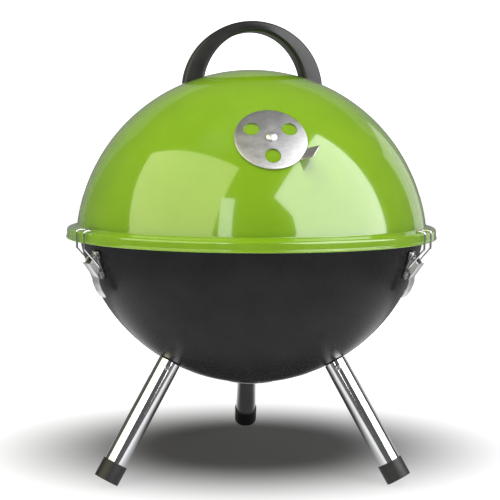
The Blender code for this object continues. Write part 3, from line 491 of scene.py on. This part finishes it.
lid_disc = damper("lid_vent_disc", LID_RADIUS, LID_DISC, VENT_HOLES, -30.0, VENT)
piece("lid_vent_disc", lid_disc, damper_steel, "lid_damper", ["lid_damper"])
bowl_disc = damper("bowl_vent_disc", BOWL_RADIUS, BOWL_DISC, AIR_HOLES, 90.0, BOWL_VENT)
piece("bowl_vent_disc", bowl_disc, damper_steel, "bowl_damper", ["bowl_damper"])

# The damper rivets: soft, pale steel, headed to a satin dome outside and upset over a washer inside,
# loose enough for the disc to turn.
rivet_steel = rolled_steel("headed rivet steel", "#E6E6E8", "#F0F0F1", 2.0, (1.0, 1.0, 1.0), 0.34)


def dome(radius, height, seat, steps=10):
    """A low domed head from its crown to its edge, a quarter of an ellipse."""
    r = np.sin(np.linspace(0, math.pi / 2, steps + 1)) * radius
    return np.stack([r, seat + height * np.sqrt(np.maximum(1 - (r / radius) ** 2, 0))], axis=1)


def rivet(shank, low, high, tail, head, place):
    """A turned pin with a domed head above the high seat and a lower dome under the low one."""
    top, bottom = dome(head[0], head[1], high), dome(tail[0], tail[1], 0.0)
    bottom = np.stack([bottom[:, 0], low - bottom[:, 1]], axis=1)[::-1]
    profile = np.concatenate([top, [(shank, high), (shank, low)], bottom])
    return turned(profile, 40, place)


def flat_washer(inner, outer, low, high, place):
    """A stamped ring with its corners rounded over."""
    e = 0.25
    profile = [
        (inner + e, high), (outer - e, high), (outer, high - e), (outer, low + e), (outer - e, low),
        (inner + e, low), (inner, low + e), (inner, high - e),
    ]
    return turned(profile, 48, place)


for name, inner, outer, place, body in (
    ("lid", LID_RADIUS - LID_SHEET, LID_RADIUS, VENT, "lid"),
    ("bowl", BOWL_RADIUS - BOWL_SHEET, BOWL_RADIUS, BOWL_VENT, "kettle"),
):
    shape = rivet(2.0, inner - 2.3, outer + 1.5, (4.0, 1.6), (4.5, 2.2), place)
    data = mesh_of(f"{name}_vent_rivet", [shape])
    piece(data.name, data, rivet_steel, body, [f"{name}_damper_rivet"])
    data = mesh_of(f"{name}_vent_washer", [flat_washer(RIVET_BORE, 6.5, inner - 2.0, inner - 1.0, place)])
    piece(data.name, data, damper_steel, body, [f"{name}_damper_washer"])

# The handle: one arch moulded in heat-proof phenolic plastic, with rounded edges and a fine satin
# grain from the mould. Two screws come up into its feet through washers inside the lid.
HANDLE_CENTRE = LID_TOP - 18.0
HANDLE_OUTER = (61.0, 59.4)  # half width and height of the arch, outside
HANDLE_INNER = (44.2, 50.4)  # and of its opening
HANDLE_DEPTH = (22.0, 15.5)  # front to back, at its inner and its outer side
HANDLE_EDGE = 2.6
HANDLE_GAP = 0.3  # between its feet and the lid


def moulded_plastic(name, first, second, grain, rough):
    """Moulded black plastic: a fine even grain from the mould, drawn a little coarse to show, and
    slow changes of gloss where hands and the mould have touched it."""
    material, where = new_material(name)
    normal = bumped(material, noise(material, where, grain, 2.0), 0.012)
    roughness = graded(material, noise(material, where, 12.0, 3.0), rough, rough + 0.1)
    tone = toned(material, noise(material, where, 18.0, 3.0), first, second)
    return close_material(material, tone, {"Roughness": roughness, "IOR": 1.5, "Normal": normal})


phenolic = moulded_plastic("satin phenolic plastic", "#0F0F10", "#151516", 0.9, 0.3)


def arch():
    """A rounded rectangle carried over the arch. At angle a its outer and its inner side are both
    ellipses, and its front and back lean in towards the outer side. Each long line of the arch starts
    and ends where it meets the lid's curve."""
    sx, sy, c, s = rounded_corners(6)

    def at(a):
        outer = np.stack([HANDLE_OUTER[0] * np.cos(a), HANDLE_OUTER[1] * np.sin(a)], axis=-1)
        inner = np.stack([HANDLE_INNER[0] * np.cos(a), HANDLE_INNER[1] * np.sin(a)], axis=-1)
        half = np.linalg.norm(outer - inner, axis=-1) / 2
        way = (outer - inner) / (2 * half[..., None])
        reach = sx * (half - HANDLE_EDGE) + HANDLE_EDGE * c
        flat = (outer + inner) / 2 + way * reach[..., None]
        thick = np.where(sx > 0, HANDLE_DEPTH[1], HANDLE_DEPTH[0])
        depth = sy * (thick / 2 - HANDLE_EDGE) + HANDLE_EDGE * s
        return np.stack([flat[..., 0], depth + 0 * a, HANDLE_CENTRE + flat[..., 1]], axis=-1)

    low, high = np.full(len(sx), -0.3), np.full(len(sx), 0.9)
    for _ in range(40):
        middle = (low + high) / 2
        sunk = np.linalg.norm(at(middle) - (0, 0, LID_CENTRE), axis=-1) < LID_RADIUS + HANDLE_GAP
        low, high = np.where(sunk, middle, low), np.where(sunk, high, middle)
    share = np.linspace(0, 1, 73)[:, None]
    points = at(low + share * (math.pi - 2 * low))
    count = len(sx)
    faces = sheet_faces(len(share), count) + [list(range(count)), list(range(72 * count, 73 * count))]
    return moved(points.reshape(-1, 3), spun(math.degrees(HANDLE_AZIMUTH))), faces


piece("arch_handle", mesh_of("arch_handle", [arch()]), phenolic, "lid", ["handle"])

# The handle's screws and washers inside the lid: zinc-plated, pan heads with a cross recess.
zinc_steel = rolled_steel("zinc-plated steel", "#A6A7AA", "#C2C2C2", 1.6, (1.0, 1.0, 1.0), 0.24)


def pan_head(radius, height, recess, place):
    """A pan head as a height over its plan: a flattened dome, less a cross that tapers to its end.
    The rows run out from the middle and the columns round it, and it closes on its seat."""
    r = np.linspace(0, 1, 22)[:, None] * radius
    a = np.linspace(0, 2 * np.pi, 64, endpoint=False)
    x, y = r * np.cos(a), r * np.sin(a)
    top = height * (1 - (r / radius) ** 4) ** 0.5 + 0 * a
    near, far = np.minimum(abs(x), abs(y)), np.maximum(abs(x), abs(y))
    arm = np.clip((recess * 0.28 - near) / 0.12, 0, 1) * np.clip((recess - far) / 0.35, 0, 1)
    top = np.maximum(top - arm * height * 0.8, 0.0)
    grid = np.stack([x, y, top], axis=-1)
    faces = sheet_faces(22, 64) + [list(range(21 * 64, 22 * 64))]
    return moved(grid.reshape(-1, 3), place), faces


def screw(shank, low, high, head, place):
    """A plain shank up a frame's Z with a cross-recessed pan head under its low end."""
    flip = (np.diag([1.0, -1.0, -1.0]), np.array([0.0, 0.0, low]))
    profile = [(0, low), (shank, low), (shank, high - 1), (shank - 0.8, high), (0, high)]
    shaft = turned(profile, 32, place)
    return [shaft, pan_head(head[0], head[1], head[0] * 0.55, within(place, flip))]


for word, side in (("left", -1), ("right", 1)):
    place = handle_screw(side)
    washer_low = LID_RADIUS - LID_SHEET - 2.0
    shapes = screw(2.5, washer_low - 0.3, LID_RADIUS + 11.0, (4.8, 3.4), place)
    data = mesh_of(f"handle_screw_pan_{word}", shapes)
    piece(data.name, data, zinc_steel, "lid", [f"handle_screw_{word}"])
    washer = flat_washer(BOLT_BORE, 7.0, washer_low, washer_low + 1.0, place)
    data = mesh_of(f"handle_ring_{word}", [washer])
    piece(data.name, data, zinc_steel, "lid", [f"handle_washer_{word}"])

# The legs: welded steel tube, polished and chromium plated, standing square to the bowl. A plug
# fills each top, a bolt comes down into it from inside the bowl, and a small cross screw holds it.
LEG_RADIUS = 9.7
LEG_WALL = 1.2
LEG_TOP = BOWL_RADIUS + 0.3
LEG_FOOT = BOWL_RADIUS + 111.1
CAP_RADIUS = 10.65
CAP_LENGTH = 16.3
PLUG_RADIUS = 8.2


def chromium(name, first, second, rough):
    """Bright chromium plate on polished steel: a near mirror, with a slow polishing wave and a thin
    film of handling marks that dulls it in places."""
    material, where = new_material(name)
    normal = bumped(material, noise(material, where, 14.0, 2.0), 0.004)
    roughness = graded(material, noise(material, where, 3.0, 5.0, 0.6), rough, rough + 0.05)
    tone = toned(material, noise(material, where, 20.0, 2.0), first, second)
    return close_material(material, tone, {"Metallic": 1.0, "Roughness": roughness, "Normal": normal})


chrome = chromium("bright chromium plate", "#D3D4D6", "#DEDFE0", 0.05)
cap_plastic = moulded_plastic("moulded black vinyl", "#131314", "#1A1A1B", 0.7, 0.45)

for word, azimuth in AZIMUTHS.items():
    down = outwards(azimuth, LEG_TILT - math.pi / 2)
    leg = facing(down, (0, 0, BOWL_CENTRE))
    bore, end = LEG_RADIUS - LEG_WALL, LEG_FOOT - 3.5
    profile = [
        (bore, end), (LEG_RADIUS, end), (LEG_RADIUS, LEG_TOP + 0.3), (LEG_RADIUS - 0.3, LEG_TOP),
        (bore + 0.3, LEG_TOP), (bore, LEG_TOP + 0.3),
    ]
    data = mesh_of(f"chromed_leg_{word}", [turned(dense(profile + profile[:1], 12.0)[:-1], 72, leg)])
    piece(data.name, data, chrome, "kettle", [f"leg_tube_{word}"])
    sleeve, lip = LEG_RADIUS + 0.2, LEG_FOOT - CAP_LENGTH
    profile = filleted([
        (0.0, LEG_FOOT), (CAP_RADIUS, LEG_FOOT), (CAP_RADIUS, lip), (sleeve, lip),
        (sleeve, end + 0.3), (0.0, end + 0.3),
    ], [0.7, 0.3, 0.2, 0.3], 4)
    points, faces = turned(dense(profile, 0.9), 72, leg)
    points[:, 2] = np.maximum(points[:, 2], 0.0)
    data = mesh_of(f"foot_boot_{word}", [(points, faces)])
    piece(data.name, data, cap_plastic, "kettle", [f"foot_cap_{word}"])
    front = leg[0].T @ np.array([0.0, 1.0, 0.0])
    front[2] = 0.0
    cross = within(leg, facing(front, (0, 0, LEG_TOP + 6.0)))
    data = mesh_of(f"cross_pan_screw_{word}", screw(1.4, -10.0, -3.5, (2.6, 1.0), cross))
    piece(data.name, data, zinc_steel, "kettle", [f"leg_cross_screw_{word}"])


def hexagon_bolt(shank, low, high, radius, height, place):
    """A hexagon head under a washer: at angle a a flat lies at apothem / cos(a within its sixth), and
    the head's outer corners are cut back to a circle by its chamfer."""
    a = np.linspace(0, 2 * np.pi, 96, endpoint=False)
    sixth = np.mod(a, math.pi / 3) - math.pi / 6
    side = radius * math.cos(math.pi / 6) / np.cos(sixth)
    trimmed = np.minimum(side, radius * 0.93)
    rows = [0 * a, trimmed * 0.8, trimmed, side, side, shank + 0 * a, shank + 0 * a, 0 * a]
    heights = [low - height, low - height, low - height + 0.05, low - height + 0.6, low, low, high, high]
    grid = np.stack([
        np.stack([r * np.cos(a), r * np.sin(a), z + 0 * a], axis=-1) for r, z in zip(rows, heights)
    ])
    return moved(grid.reshape(-1, 3), place), sheet_faces(len(rows), 96)


for word, azimuth in AZIMUTHS.items():
    leg = facing(outwards(azimuth, LEG_TILT - math.pi / 2), (0, 0, BOWL_CENTRE))
    seat = BOWL_RADIUS - BOWL_SHEET - 2.0
    bolt = hexagon_bolt(2.5, seat - 0.3, LEG_TOP + 15.4, 4.8, 3.4, leg)
    data = mesh_of(f"hex_bolt_{word}", [bolt], 25.0)
    piece(data.name, data, zinc_steel, "kettle", [f"leg_bolt_{word}"])
    data = mesh_of(f"leg_ring_{word}", [flat_washer(BOLT_BORE, 7.0, seat, seat + 1.0, leg)])
    piece(data.name, data, zinc_steel, "kettle", [f"leg_washer_{word}"])
    top, bottom = LEG_TOP + 0.5, LEG_TOP + 22.5
    plug = [(BOLT_BORE, top), (PLUG_RADIUS, top), (PLUG_RADIUS, bottom), (BOLT_BORE, bottom)]
    data = mesh_of(f"tube_plug_{word}", [turned(plug, 48, leg)])
    piece(data.name, data, zinc_steel, "kettle", [f"leg_plug_{word}"])

# The latches: a stamped base riveted to the bowl, with two ears for a pin, a bent lever that swings
# on it, and a wire bail that hooks over the lid's ledge. The wire is chromium plated and mirror
# bright, the base a little duller, and the lever satin, so that it looks evenly pale.
def joint_at(name):
    """A joint's radius and height."""
    x, y, z = next(joint["pos_m"] for joint in frame["joints"] if joint["name"] == name)
    return np.array([math.hypot(x, y), z]) / MM


PIVOT = joint_at("latch_rear_lever")
BAIL_AT = joint_at("latch_rear_bail")
HOOK = np.array([154.0, 212.93])
UPRIGHT_R = 161.25
WIRE = 0.85
WIRE_Y = 7.4
PLATE = 1.0
BASE_HALF = 12.0
BASE_WIDE = 6.25
BASE_GAP = 0.3  # between the base and the bowl
EAR_Y = 4.1
EAR_SHEET = 0.96
EAR_ROUND = 2.5
CHEEK_Y = 5.5
CHEEK_ROUND = 2.2
LEVER_HALF = 6.2
PIN_BORE = 1.4
WIRE_BORE = 1.05
STUD_HEAD = (2.4, 1.1)
BRACKET_SHEET = 1.5
BRACKET_GAP = 1.7  # between the bowl and a grate's bracket, on the upper rivet
BASE_FALL = PLATE_Z - BOWL_CENTRE
BASE_OUT = np.array([math.sqrt(BOWL_RADIUS**2 - BASE_FALL**2), BASE_FALL]) / BOWL_RADIUS
BASE_UP = np.array([-BASE_OUT[1], BASE_OUT[0]])
STUD_DROP = BOWL_RADIUS - math.sqrt(BOWL_RADIUS**2 - RIVET_SPAN**2)  # the bowl's fall from flat there

latch_steel = rolled_steel("bright-plated latch steel", "#B9BABC", "#D2D2D4", 1.8, (1.0, 1.0, 0.3), 0.18)
lever_steel = rolled_steel("satin-plated lever steel", "#D6D6D9", "#E6E6E8", 1.8, (1.0, 1.0, 0.3), 0.34)


def unit_rows(vectors):
    """Each row at length one."""
    return vectors / np.linalg.norm(vectors, axis=1, keepdims=True)


def plate(outline, thickness, holes, place, edge=0.22):
    """A stamped plate in XY: its outline carried through the thickness, with the edge eased in by
    the same amount above and below. Holes are (x, y, radius) and are left for the drill."""
    outline = np.asarray(outline, float)
    ahead = unit_rows(np.roll(outline, -1, axis=0) - outline)
    behind = unit_rows(outline - np.roll(outline, 1, axis=0))
    after = np.roll(outline, -1, axis=0)
    turn = np.sign(np.sum(outline[:, 0] * after[:, 1] - after[:, 0] * outline[:, 1]))
    mitre = unit_rows(ahead + behind)
    inward = np.stack([-mitre[:, 1], mitre[:, 0]], axis=1) * turn
    half = thickness / 2
    levels = [(edge, -half), (0.0, edge - half), (0.0, half - edge), (edge, half)]
    grid = np.stack([
        np.column_stack([outline + inward * inset, np.full(len(outline), z)]) for inset, z in levels
    ])
    count = len(outline)
    faces = sheet_faces(4, count) + [list(range(count)), list(range(3 * count, 4 * count))]
    drills = []
    for x, y, r in holes:
        middle = moved(np.array([[x, y, 0.0]]), place)[0]
        drills.append(drill(r, (place[0], middle), -5, 5, 24))
    return (moved(grid.reshape(-1, 3), place), faces), drills


def side_on(y):
    """Turns a drawing in XY into a ring frame's X-Z plane, at this place along the rim."""
    return np.array([(1.0, 0.0, 0.0), (0.0, 0.0, -1.0), (0.0, 1.0, 0.0)]), np.array([0.0, y, 0.0])


def along_rim(here, centre):
    """A frame whose Z runs along the rim, at a (radius, height) point of a ring frame."""
    return within(here, (side_on(0.0)[0], np.array([centre[0], 0.0, centre[1]])))


def tube(path, radius, sides=14, closed=False, place=None):
    """A round wire along a path. The ring's own axes are carried from point to point with no twist,
    and an open wire has a short chamfer at each end."""
    path = np.asarray(path, float)
    if closed:
        ahead = unit_rows(np.roll(path, -1, axis=0) - np.roll(path, 1, axis=0))
    else:
        ahead = unit_rows(np.gradient(path, axis=0))
    start = np.array([0.0, 0.0, 1.0]) if abs(ahead[0][2]) < 0.9 else np.array([0.0, 1.0, 0.0])
    normals = []
    for direction in ahead:
        start = unit(start - direction * (start @ direction))
        normals.append(start)
    normals = np.array(normals)
    sideways = np.cross(ahead, normals)
    a = np.linspace(0, 2 * np.pi, sides, endpoint=False)[None, :, None]
    grid = path[:, None] + radius * (np.cos(a) * normals[:, None] + np.sin(a) * sideways[:, None])
    faces = sheet_faces(len(path), sides, wrap_rows=closed)
    if not closed:
        faces += [list(range(sides)), list(range((len(path) - 1) * sides, len(path) * sides))]
    return moved(grid.reshape(-1, 3), place), faces


def about(centre, radius, start, stop, steps):
    """An arc as a list of points, to add to an outline."""
    return [tuple(p) for p in arc(centre, radius, start, stop, steps)]


def rounded_outline(corners, radius, steps=3):
    """A closed outline whose corners are all rounded by up to this radius."""
    corners = [np.asarray(c, float) for c in corners]
    line = [(corners[-1] + corners[0]) / 2] + corners + [(corners[-1] + corners[0]) / 2]
    return filleted(line, radius, steps)[:-1]


for word, azimuth in AZIMUTHS.items():
    here = ring(azimuth)
    base_place = on_bowl(azimuth, PLATE_Z)
    half, wide, narrow, end = BASE_HALF, BASE_WIDE, 4.7, 5.6
    right = [
        (wide * 0.3, -half), (wide * 0.8, -half + end / 2), (wide * 0.8, -half + end),
        (narrow, -half + end + 0.4), (narrow, half - end - 0.4), (wide, half - end), (wide, half),
    ]
    outline = rounded_outline(right + [(-x, y) for x, y in right[::-1]], 0.9)
    lift = BASE_GAP + PLATE / 2
    lifted = within(base_place, (np.eye(3), np.array([0.0, 0.0, lift])))
    studs = [(0, -RIVET_SPAN, STUD_BORE), (0, RIVET_SPAN, STUD_BORE)]
    base, drills = plate(outline, PLATE, studs, lifted)
    foot = np.array([np.linalg.norm(base_place[1][:2]), base_place[1][2]]) + BASE_OUT * lift
    low, high = foot - BASE_UP * 5.5, foot + BASE_UP * 5.8
    ear = [tuple(low), (low[0] + 3.0, low[1]), *about(PIVOT, EAR_ROUND, -45.0, 130.0, 12), tuple(high)]
    shapes = [base]
    for y in (-EAR_Y, EAR_Y):
        shapes.append(plate(ear, EAR_SHEET, [], within(here, side_on(y)), 0.15)[0])
    drills.append(drill(PIN_BORE, along_rim(here, PIVOT), -5.2, 5.2, 24))
    data = mesh_of(f"latch_plate_{word}", shapes)
    made = drilled(data, drills, welded=True)
    piece(data.name, made, latch_steel, "kettle", [f"latch_base_{word}"])

    offsets = [(5.8, -3.8), (-2.3, -15.2), (-2.5, -20.0), (-5.6, -27.3), (-9.4, -32.2)]
    line = [PIVOT + offset for offset in offsets]
    spine = dense(filleted(line, [4.0, 9.0, 9.0], 6), 0.6)
    shapes = [strip(spine, LEVER_HALF, PLATE, here, 3.0)]
    flare, neck = (line[0] + (line[1] - line[0]) * share for share in (0.06, 0.86))
    cheek = [
        tuple(neck), tuple(flare), *about(PIVOT, CHEEK_ROUND, 40.0, 180.0, 9),
        *about(BAIL_AT, CHEEK_ROUND, 180.0, 270.0, 6),
    ]
    for y in (-CHEEK_Y, CHEEK_Y):
        shapes.append(plate(cheek, PLATE, [], within(here, side_on(y)), 0.15)[0])
    drills = []
    for centre, radius in ((PIVOT, PIN_BORE), (BAIL_AT, WIRE_BORE)):
        place = along_rim(here, centre)
        drills += [drill(radius, place, low, low + 2.4, 24) for low in (-6.7, 4.3)]
    data = mesh_of(f"latch_thumb_lever_{word}", shapes)
    made = drilled(data, drills, welded=True)
    piece(data.name, made, lever_steel, f"latch_lever_{word}", [f"latch_lever_{word}"])

    near = [
        (BAIL_AT[0], 4.9, BAIL_AT[1]), (BAIL_AT[0], WIRE_Y, BAIL_AT[1]),
        (UPRIGHT_R, WIRE_Y, SKIRT_Z - 4.0), (UPRIGHT_R, WIRE_Y, HOOK[1]), (HOOK[0], WIRE_Y, HOOK[1]),
    ]
    far = [(x, -y, z) for x, y, z in near[::-1]]
    data = mesh_of(f"latch_wire_{word}", [tube(filleted(near + far, 2.0, 6), WIRE, 16, place=here)])
    piece(data.name, data, chrome, f"latch_bail_{word}", [f"latch_bail_{word}"])

    profile = [(0, -6.1), (0.9, -6.1), (1.2, -5.8), (1.2, 5.8), (0.9, 6.1), (0, 6.1)]
    data = mesh_of(f"latch_axle_{word}", [turned(profile, 28, along_rim(here, PIVOT))])
    piece(data.name, data, latch_steel, "kettle", [f"latch_pin_{word}"])
    inside = -(BOWL_SHEET + STUD_DROP)
    tails = {"upper": inside - BRACKET_GAP - BRACKET_SHEET - 0.3, "lower": inside - 1.0}
    for which, side in (("upper", 1), ("lower", -1)):
        place = (base_place[0], base_place[1] + base_place[0][:, 1] * RIVET_SPAN * side)
        shape = rivet(1.3, tails[which], 1.6, STUD_HEAD, STUD_HEAD, place)
        data = mesh_of(f"latch_stud_{which}_{word}", [shape])
        piece(data.name, data, rivet_steel, "kettle", [f"latch_rivet_{which}_{word}"])

# The grates: round wire, spot-welded. Bars lie across a ring, with stays beneath them. The upper
# one is nickel-chromium plated and rests on three riveted brackets, the lower one is plain steel.
COOKING_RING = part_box("cooking_grate")[1][0] / MM - 2.0
COOKING_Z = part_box("cooking_grate")[1][2] / MM - 1.73
CHARCOAL_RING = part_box("charcoal_grate")[1][0] / MM - 2.0
CHARCOAL_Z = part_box("charcoal_grate")[1][2] / MM - 1.73
RING_WIRE = 1.9
BAR_WIRE = 1.45
BAR_PITCH = 16.0
STAY_DROP = 2.55
BRACKET_SIDE = 12.0  # each side of a bracket's angle

grate_plate = chromium("nickel-chromium plated wire", "#C6C5C2", "#D5D4D1", 0.12)
plain_wire = rolled_steel("plain steel wire", "#6E6D6C", "#8A8987", 2.5, (1.0, 1.0, 1.0), 0.38)


def grate(radius, height, stays):
    """A wire ring with straight bars across it, each as long as the ring's chord."""
    a = np.linspace(0, 2 * np.pi, 144, endpoint=False)
    rim = np.stack([radius * np.cos(a), radius * np.sin(a), height + 0 * a], axis=1)
    shapes = [tube(rim, RING_WIRE, 12, closed=True)]
    count = int((radius - BAR_PITCH / 2) // BAR_PITCH)
    for y in np.arange(-count, count + 1) * BAR_PITCH:
        half = math.sqrt(radius**2 - y**2)
        shapes.append(tube([(-half, y, height), (0, y, height), (half, y, height)], BAR_WIRE, 12))
    for x in stays:
        half = math.sqrt(radius**2 - x**2)
        drop = height - STAY_DROP
        shapes.append(tube([(x, -half, drop), (x, 0, drop), (x, half, drop)], BAR_WIRE, 12))
    return shapes


stay = 0.42 * COOKING_RING
data = mesh_of("plated_grate", grate(COOKING_RING, COOKING_Z, (-stay, stay)))
piece(data.name, data, grate_plate, "cooking_grate", ["cooking_grate"])
data = mesh_of("coal_grate", grate(CHARCOAL_RING, CHARCOAL_Z, (0.0,)))
piece(data.name, data, plain_wire, "charcoal_grate", ["charcoal_grate"])

for word, azimuth in AZIMUTHS.items():
    inset = BOWL_SHEET + STUD_DROP + BRACKET_GAP + BRACKET_SHEET / 2
    middle = BASE_OUT * (BOWL_RADIUS - inset) + BASE_UP * RIVET_SPAN + (0.0, BOWL_CENTRE)
    top = middle + BASE_UP * 4.5
    low = top - BASE_UP * BRACKET_SIDE
    line = dense(filleted([top, low, low - (BRACKET_SIDE, 0.0)], 1.5), 1.0)
    bracket = mesh_of(f"grate_shelf_{word}", [strip(line, 5.0, BRACKET_SHEET, ring(azimuth), 1.5)])
    hole = on_bowl(azimuth, PLATE_Z)
    hole = drill(STUD_BORE, (hole[0], hole[1] + hole[0][:, 1] * RIVET_SPAN), -12.0, 4.0)
    made = drilled(bracket, [hole])
    piece(bracket.name, made, zinc_steel, "kettle", [f"grate_bracket_{word}"])

# The setting: a pale floor and a bright paper background in a dim room. Near the grill the floor is a
# darker grey and its glow is left out over an oval, a painted shadow. White boards stand round
# the grill for the enamel and the chrome to mirror, and soft lamps above and beside it light it.
STAGE_MIDDLE = (0, 0, 0.19)  # metres, as is all of the setting
STAGE_DISTANCE = 1.6
FLOOR_EDGE = 0.4


def paper(name, reflects="#F4F4F4", painted_shadow_until=None):
    """Matt paper that glows evenly by itself. Given painted_shadow_until, the glow fades in from this far
    out over an oval that lies a little to the back, which leaves a painted shadow under the grill."""
    material, where = new_material(name)
    light = linear("#FAFAFA")
    # Painted shadow: no glow under the grill, fading in over an oval that lies a little to the back.
    if painted_shadow_until:
        oval = {"Vector": where, "Location": (0.0, -0.075, 0.0), "Scale": (0.98, 1.35, 1.0)}
        oval = add_node(material, "ShaderNodeMapping", oval).outputs["Vector"]
        away = add_node(material, "ShaderNodeVectorMath", {0: oval}, operation="LENGTH").outputs["Value"]
        span = {"Value": away, "From Min": painted_shadow_until, "From Max": painted_shadow_until + 0.2}
        light = add_node(material, "ShaderNodeMapRange", span, interpolation_type="SMOOTHSTEP")
        light = light.outputs["Result"]
    look = {"Roughness": 0.9, "Emission Color": light, "Emission Strength": 1.0}
    return close_material(material, linear(reflects), look)


def glowing(name, glow, colour):
    """A board that is lit evenly: all it gives the eye is this much light."""
    material, _ = new_material(name)
    emission = add_node(material, "ShaderNodeEmission", {"Strength": glow, "Color": linear(colour)})
    add_node(material, "ShaderNodeOutputMaterial", {"Surface": emission.outputs["Emission"]})
    return material


def staged(name, points, faces, material):
    """A mesh of the setting."""
    data = bpy.data.meshes.new(name)
    data.from_pydata(np.asarray(points, float).tolist(), [], faces)
    obj = bpy.data.objects.new(name, data)
    bpy.context.scene.collection.objects.link(obj)
    data.materials.append(material)
    return obj


def board(name, azimuth, rise, corners, glow, colour="#FFFFFF"):
    """A board that faces the grill, with its corners given along and up it. It is there to be
    mirrored, and it lights nothing by itself."""
    place = facing(outwards(azimuth, math.radians(rise)), STAGE_MIDDLE, STAGE_DISTANCE)
    flat = np.column_stack([corners, np.zeros(len(corners))])
    obj = staged(name, moved(flat, place), [list(range(len(corners)))], glowing(name, glow, colour))
    obj.visible_diffuse = False
    obj.visible_camera = False


def floor_ring(name, inner, outer, material):
    """The part of the floor between two distances from the grill."""
    a = np.linspace(0, 2 * np.pi, 96, endpoint=False)
    rings = [np.stack([r * np.cos(a), r * np.sin(a), 0 * a], axis=1) for r in (outer, inner)]
    return staged(name, np.concatenate(rings), sheet_faces(2, 96), material)


# The floor near the grill is a darker grey paper with its glow left out under the grill: a painted shadow.
floor_ring("floor", 0.0005, FLOOR_EDGE, paper("floor paper with painted shadow", "#606060", 0.08))
far_floor = floor_ring("far floor", FLOOR_EDGE, 7.0, paper("far floor paper"))
wall = [(-2, 5, 0), (2, 5, 0), (2, 5, 3), (-2, 5, 3)]
background = staged("background", wall, [[0, 1, 2, 3]], paper("background paper"))
far_floor.visible_glossy = background.visible_glossy = background.visible_diffuse = False
board("left board", -46, 33, [(-1.3, -0.9), (0.62, -0.9), (0.62, 0.7), (-1.3, 0.7)], 2.5, "#FFF9D2")
board("narrow board", -19, 22, [(-0.08, -0.5), (0.14, -0.5), (0.14, 0.3), (-0.08, 0.3)], 3.6)
right_corners = [(-1.1, -0.95), (1.25, -0.95), (0.5, 1.0), (-1.15, 0.3), (-0.95, -0.2)]
board("right board", 57, 32, right_corners, 4.4)
board("back board", 180, 20, [(-1.4, -0.6), (1.4, -0.6), (1.4, 0.8), (-1.4, 0.8)], 0.24)
board("right rim board", 135, 10, [(-0.3, -0.4), (0.3, -0.4), (0.3, 0.5), (-0.3, 0.5)], 0.7)


def soft_lamp(name, azimuth, rise, width, height, glow):
    """An area lamp that faces the grill. glow is its brightness, so its power is glow x pi x its
    area. Baffles keep it out of the reflections."""
    data = bpy.data.lights.new(name, "AREA")
    data.shape = "RECTANGLE"
    data.size, data.size_y = width, height
    data.energy = glow * math.pi * width * height
    obj = bpy.data.objects.new(name, data)
    bpy.context.scene.collection.objects.link(obj)
    axes, origin = facing(outwards(azimuth, math.radians(rise)), STAGE_MIDDLE, STAGE_DISTANCE)
    obj.matrix_world = Matrix.Translation(origin) @ Matrix(axes.tolist()).to_4x4()
    obj.visible_glossy = False


soft_lamp("overhead lamp", 0, 89, 0.6, 0.6, 6.5)
soft_lamp("right lamp", 42, 66, 0.5, 0.4, 20.0)
soft_lamp("left lamp", -50, 66, 0.5, 0.4, 13.0)
soft_lamp("left side lamp", -105, 24, 1.4, 0.4, 3.6)
soft_lamp("right side lamp", 105, 24, 1.4, 0.4, 3.2)

# The room itself, from straight down to straight up: grey, and a little darker towards the top.
ROOM = ((0.0, "#A8A8A8"), (0.4, "#989898"), (0.5, "#6C6C6C"), (0.62, "#646464"), (0.84, "#5C5C5C"))
world = bpy.data.worlds.new("dim room")
world.use_nodes = True
world.node_tree.nodes.clear()
towards = add_node(world, "ShaderNodeTexCoord").outputs["Generated"]
up = add_node(world, "ShaderNodeSeparateXYZ", {0: towards}).outputs["Z"]
share = add_node(world, "ShaderNodeMapRange", {"Value": up, "From Min": -1.0, "From Max": 1.0})
room = add_node(world, "ShaderNodeValToRGB", {"Fac": share.outputs["Result"]})
tones = room.color_ramp.elements
for place, code in ROOM:
    tone = tones[0] if place == 0.0 else tones.new(place)
    tone.position, tone.color = place, linear(code)
tones[-1].color = linear("#6C6C6C")
sky = add_node(world, "ShaderNodeBackground", {"Color": room.outputs["Color"], "Strength": 1.0})
add_node(world, "ShaderNodeOutputWorld", {"Surface": sky.outputs["Background"]})
bpy.context.scene.world = world
bpy.context.scene.view_settings.view_transform = "Standard"

# The camera looks down a little at the grill, from slightly left of the front.
camera_data = bpy.data.cameras.new("camera")
camera_data.sensor_width = 36.0
camera_data.lens = 82.4
camera_data.clip_start = 0.01
camera = bpy.data.objects.new("camera", camera_data)
bpy.context.scene.collection.objects.link(camera)
camera.rotation_mode = "QUATERNION"
heading = Euler((math.radians(90.0 - 5.436), 0.0, math.radians(-2.0))).to_matrix()
camera.rotation_quaternion = (heading @ Matrix.Rotation(math.radians(0.313), 3, "Z")).to_quaternion()
camera.location = (-0.0360, -0.9970, 0.2847)
bpy.context.scene.camera = camera
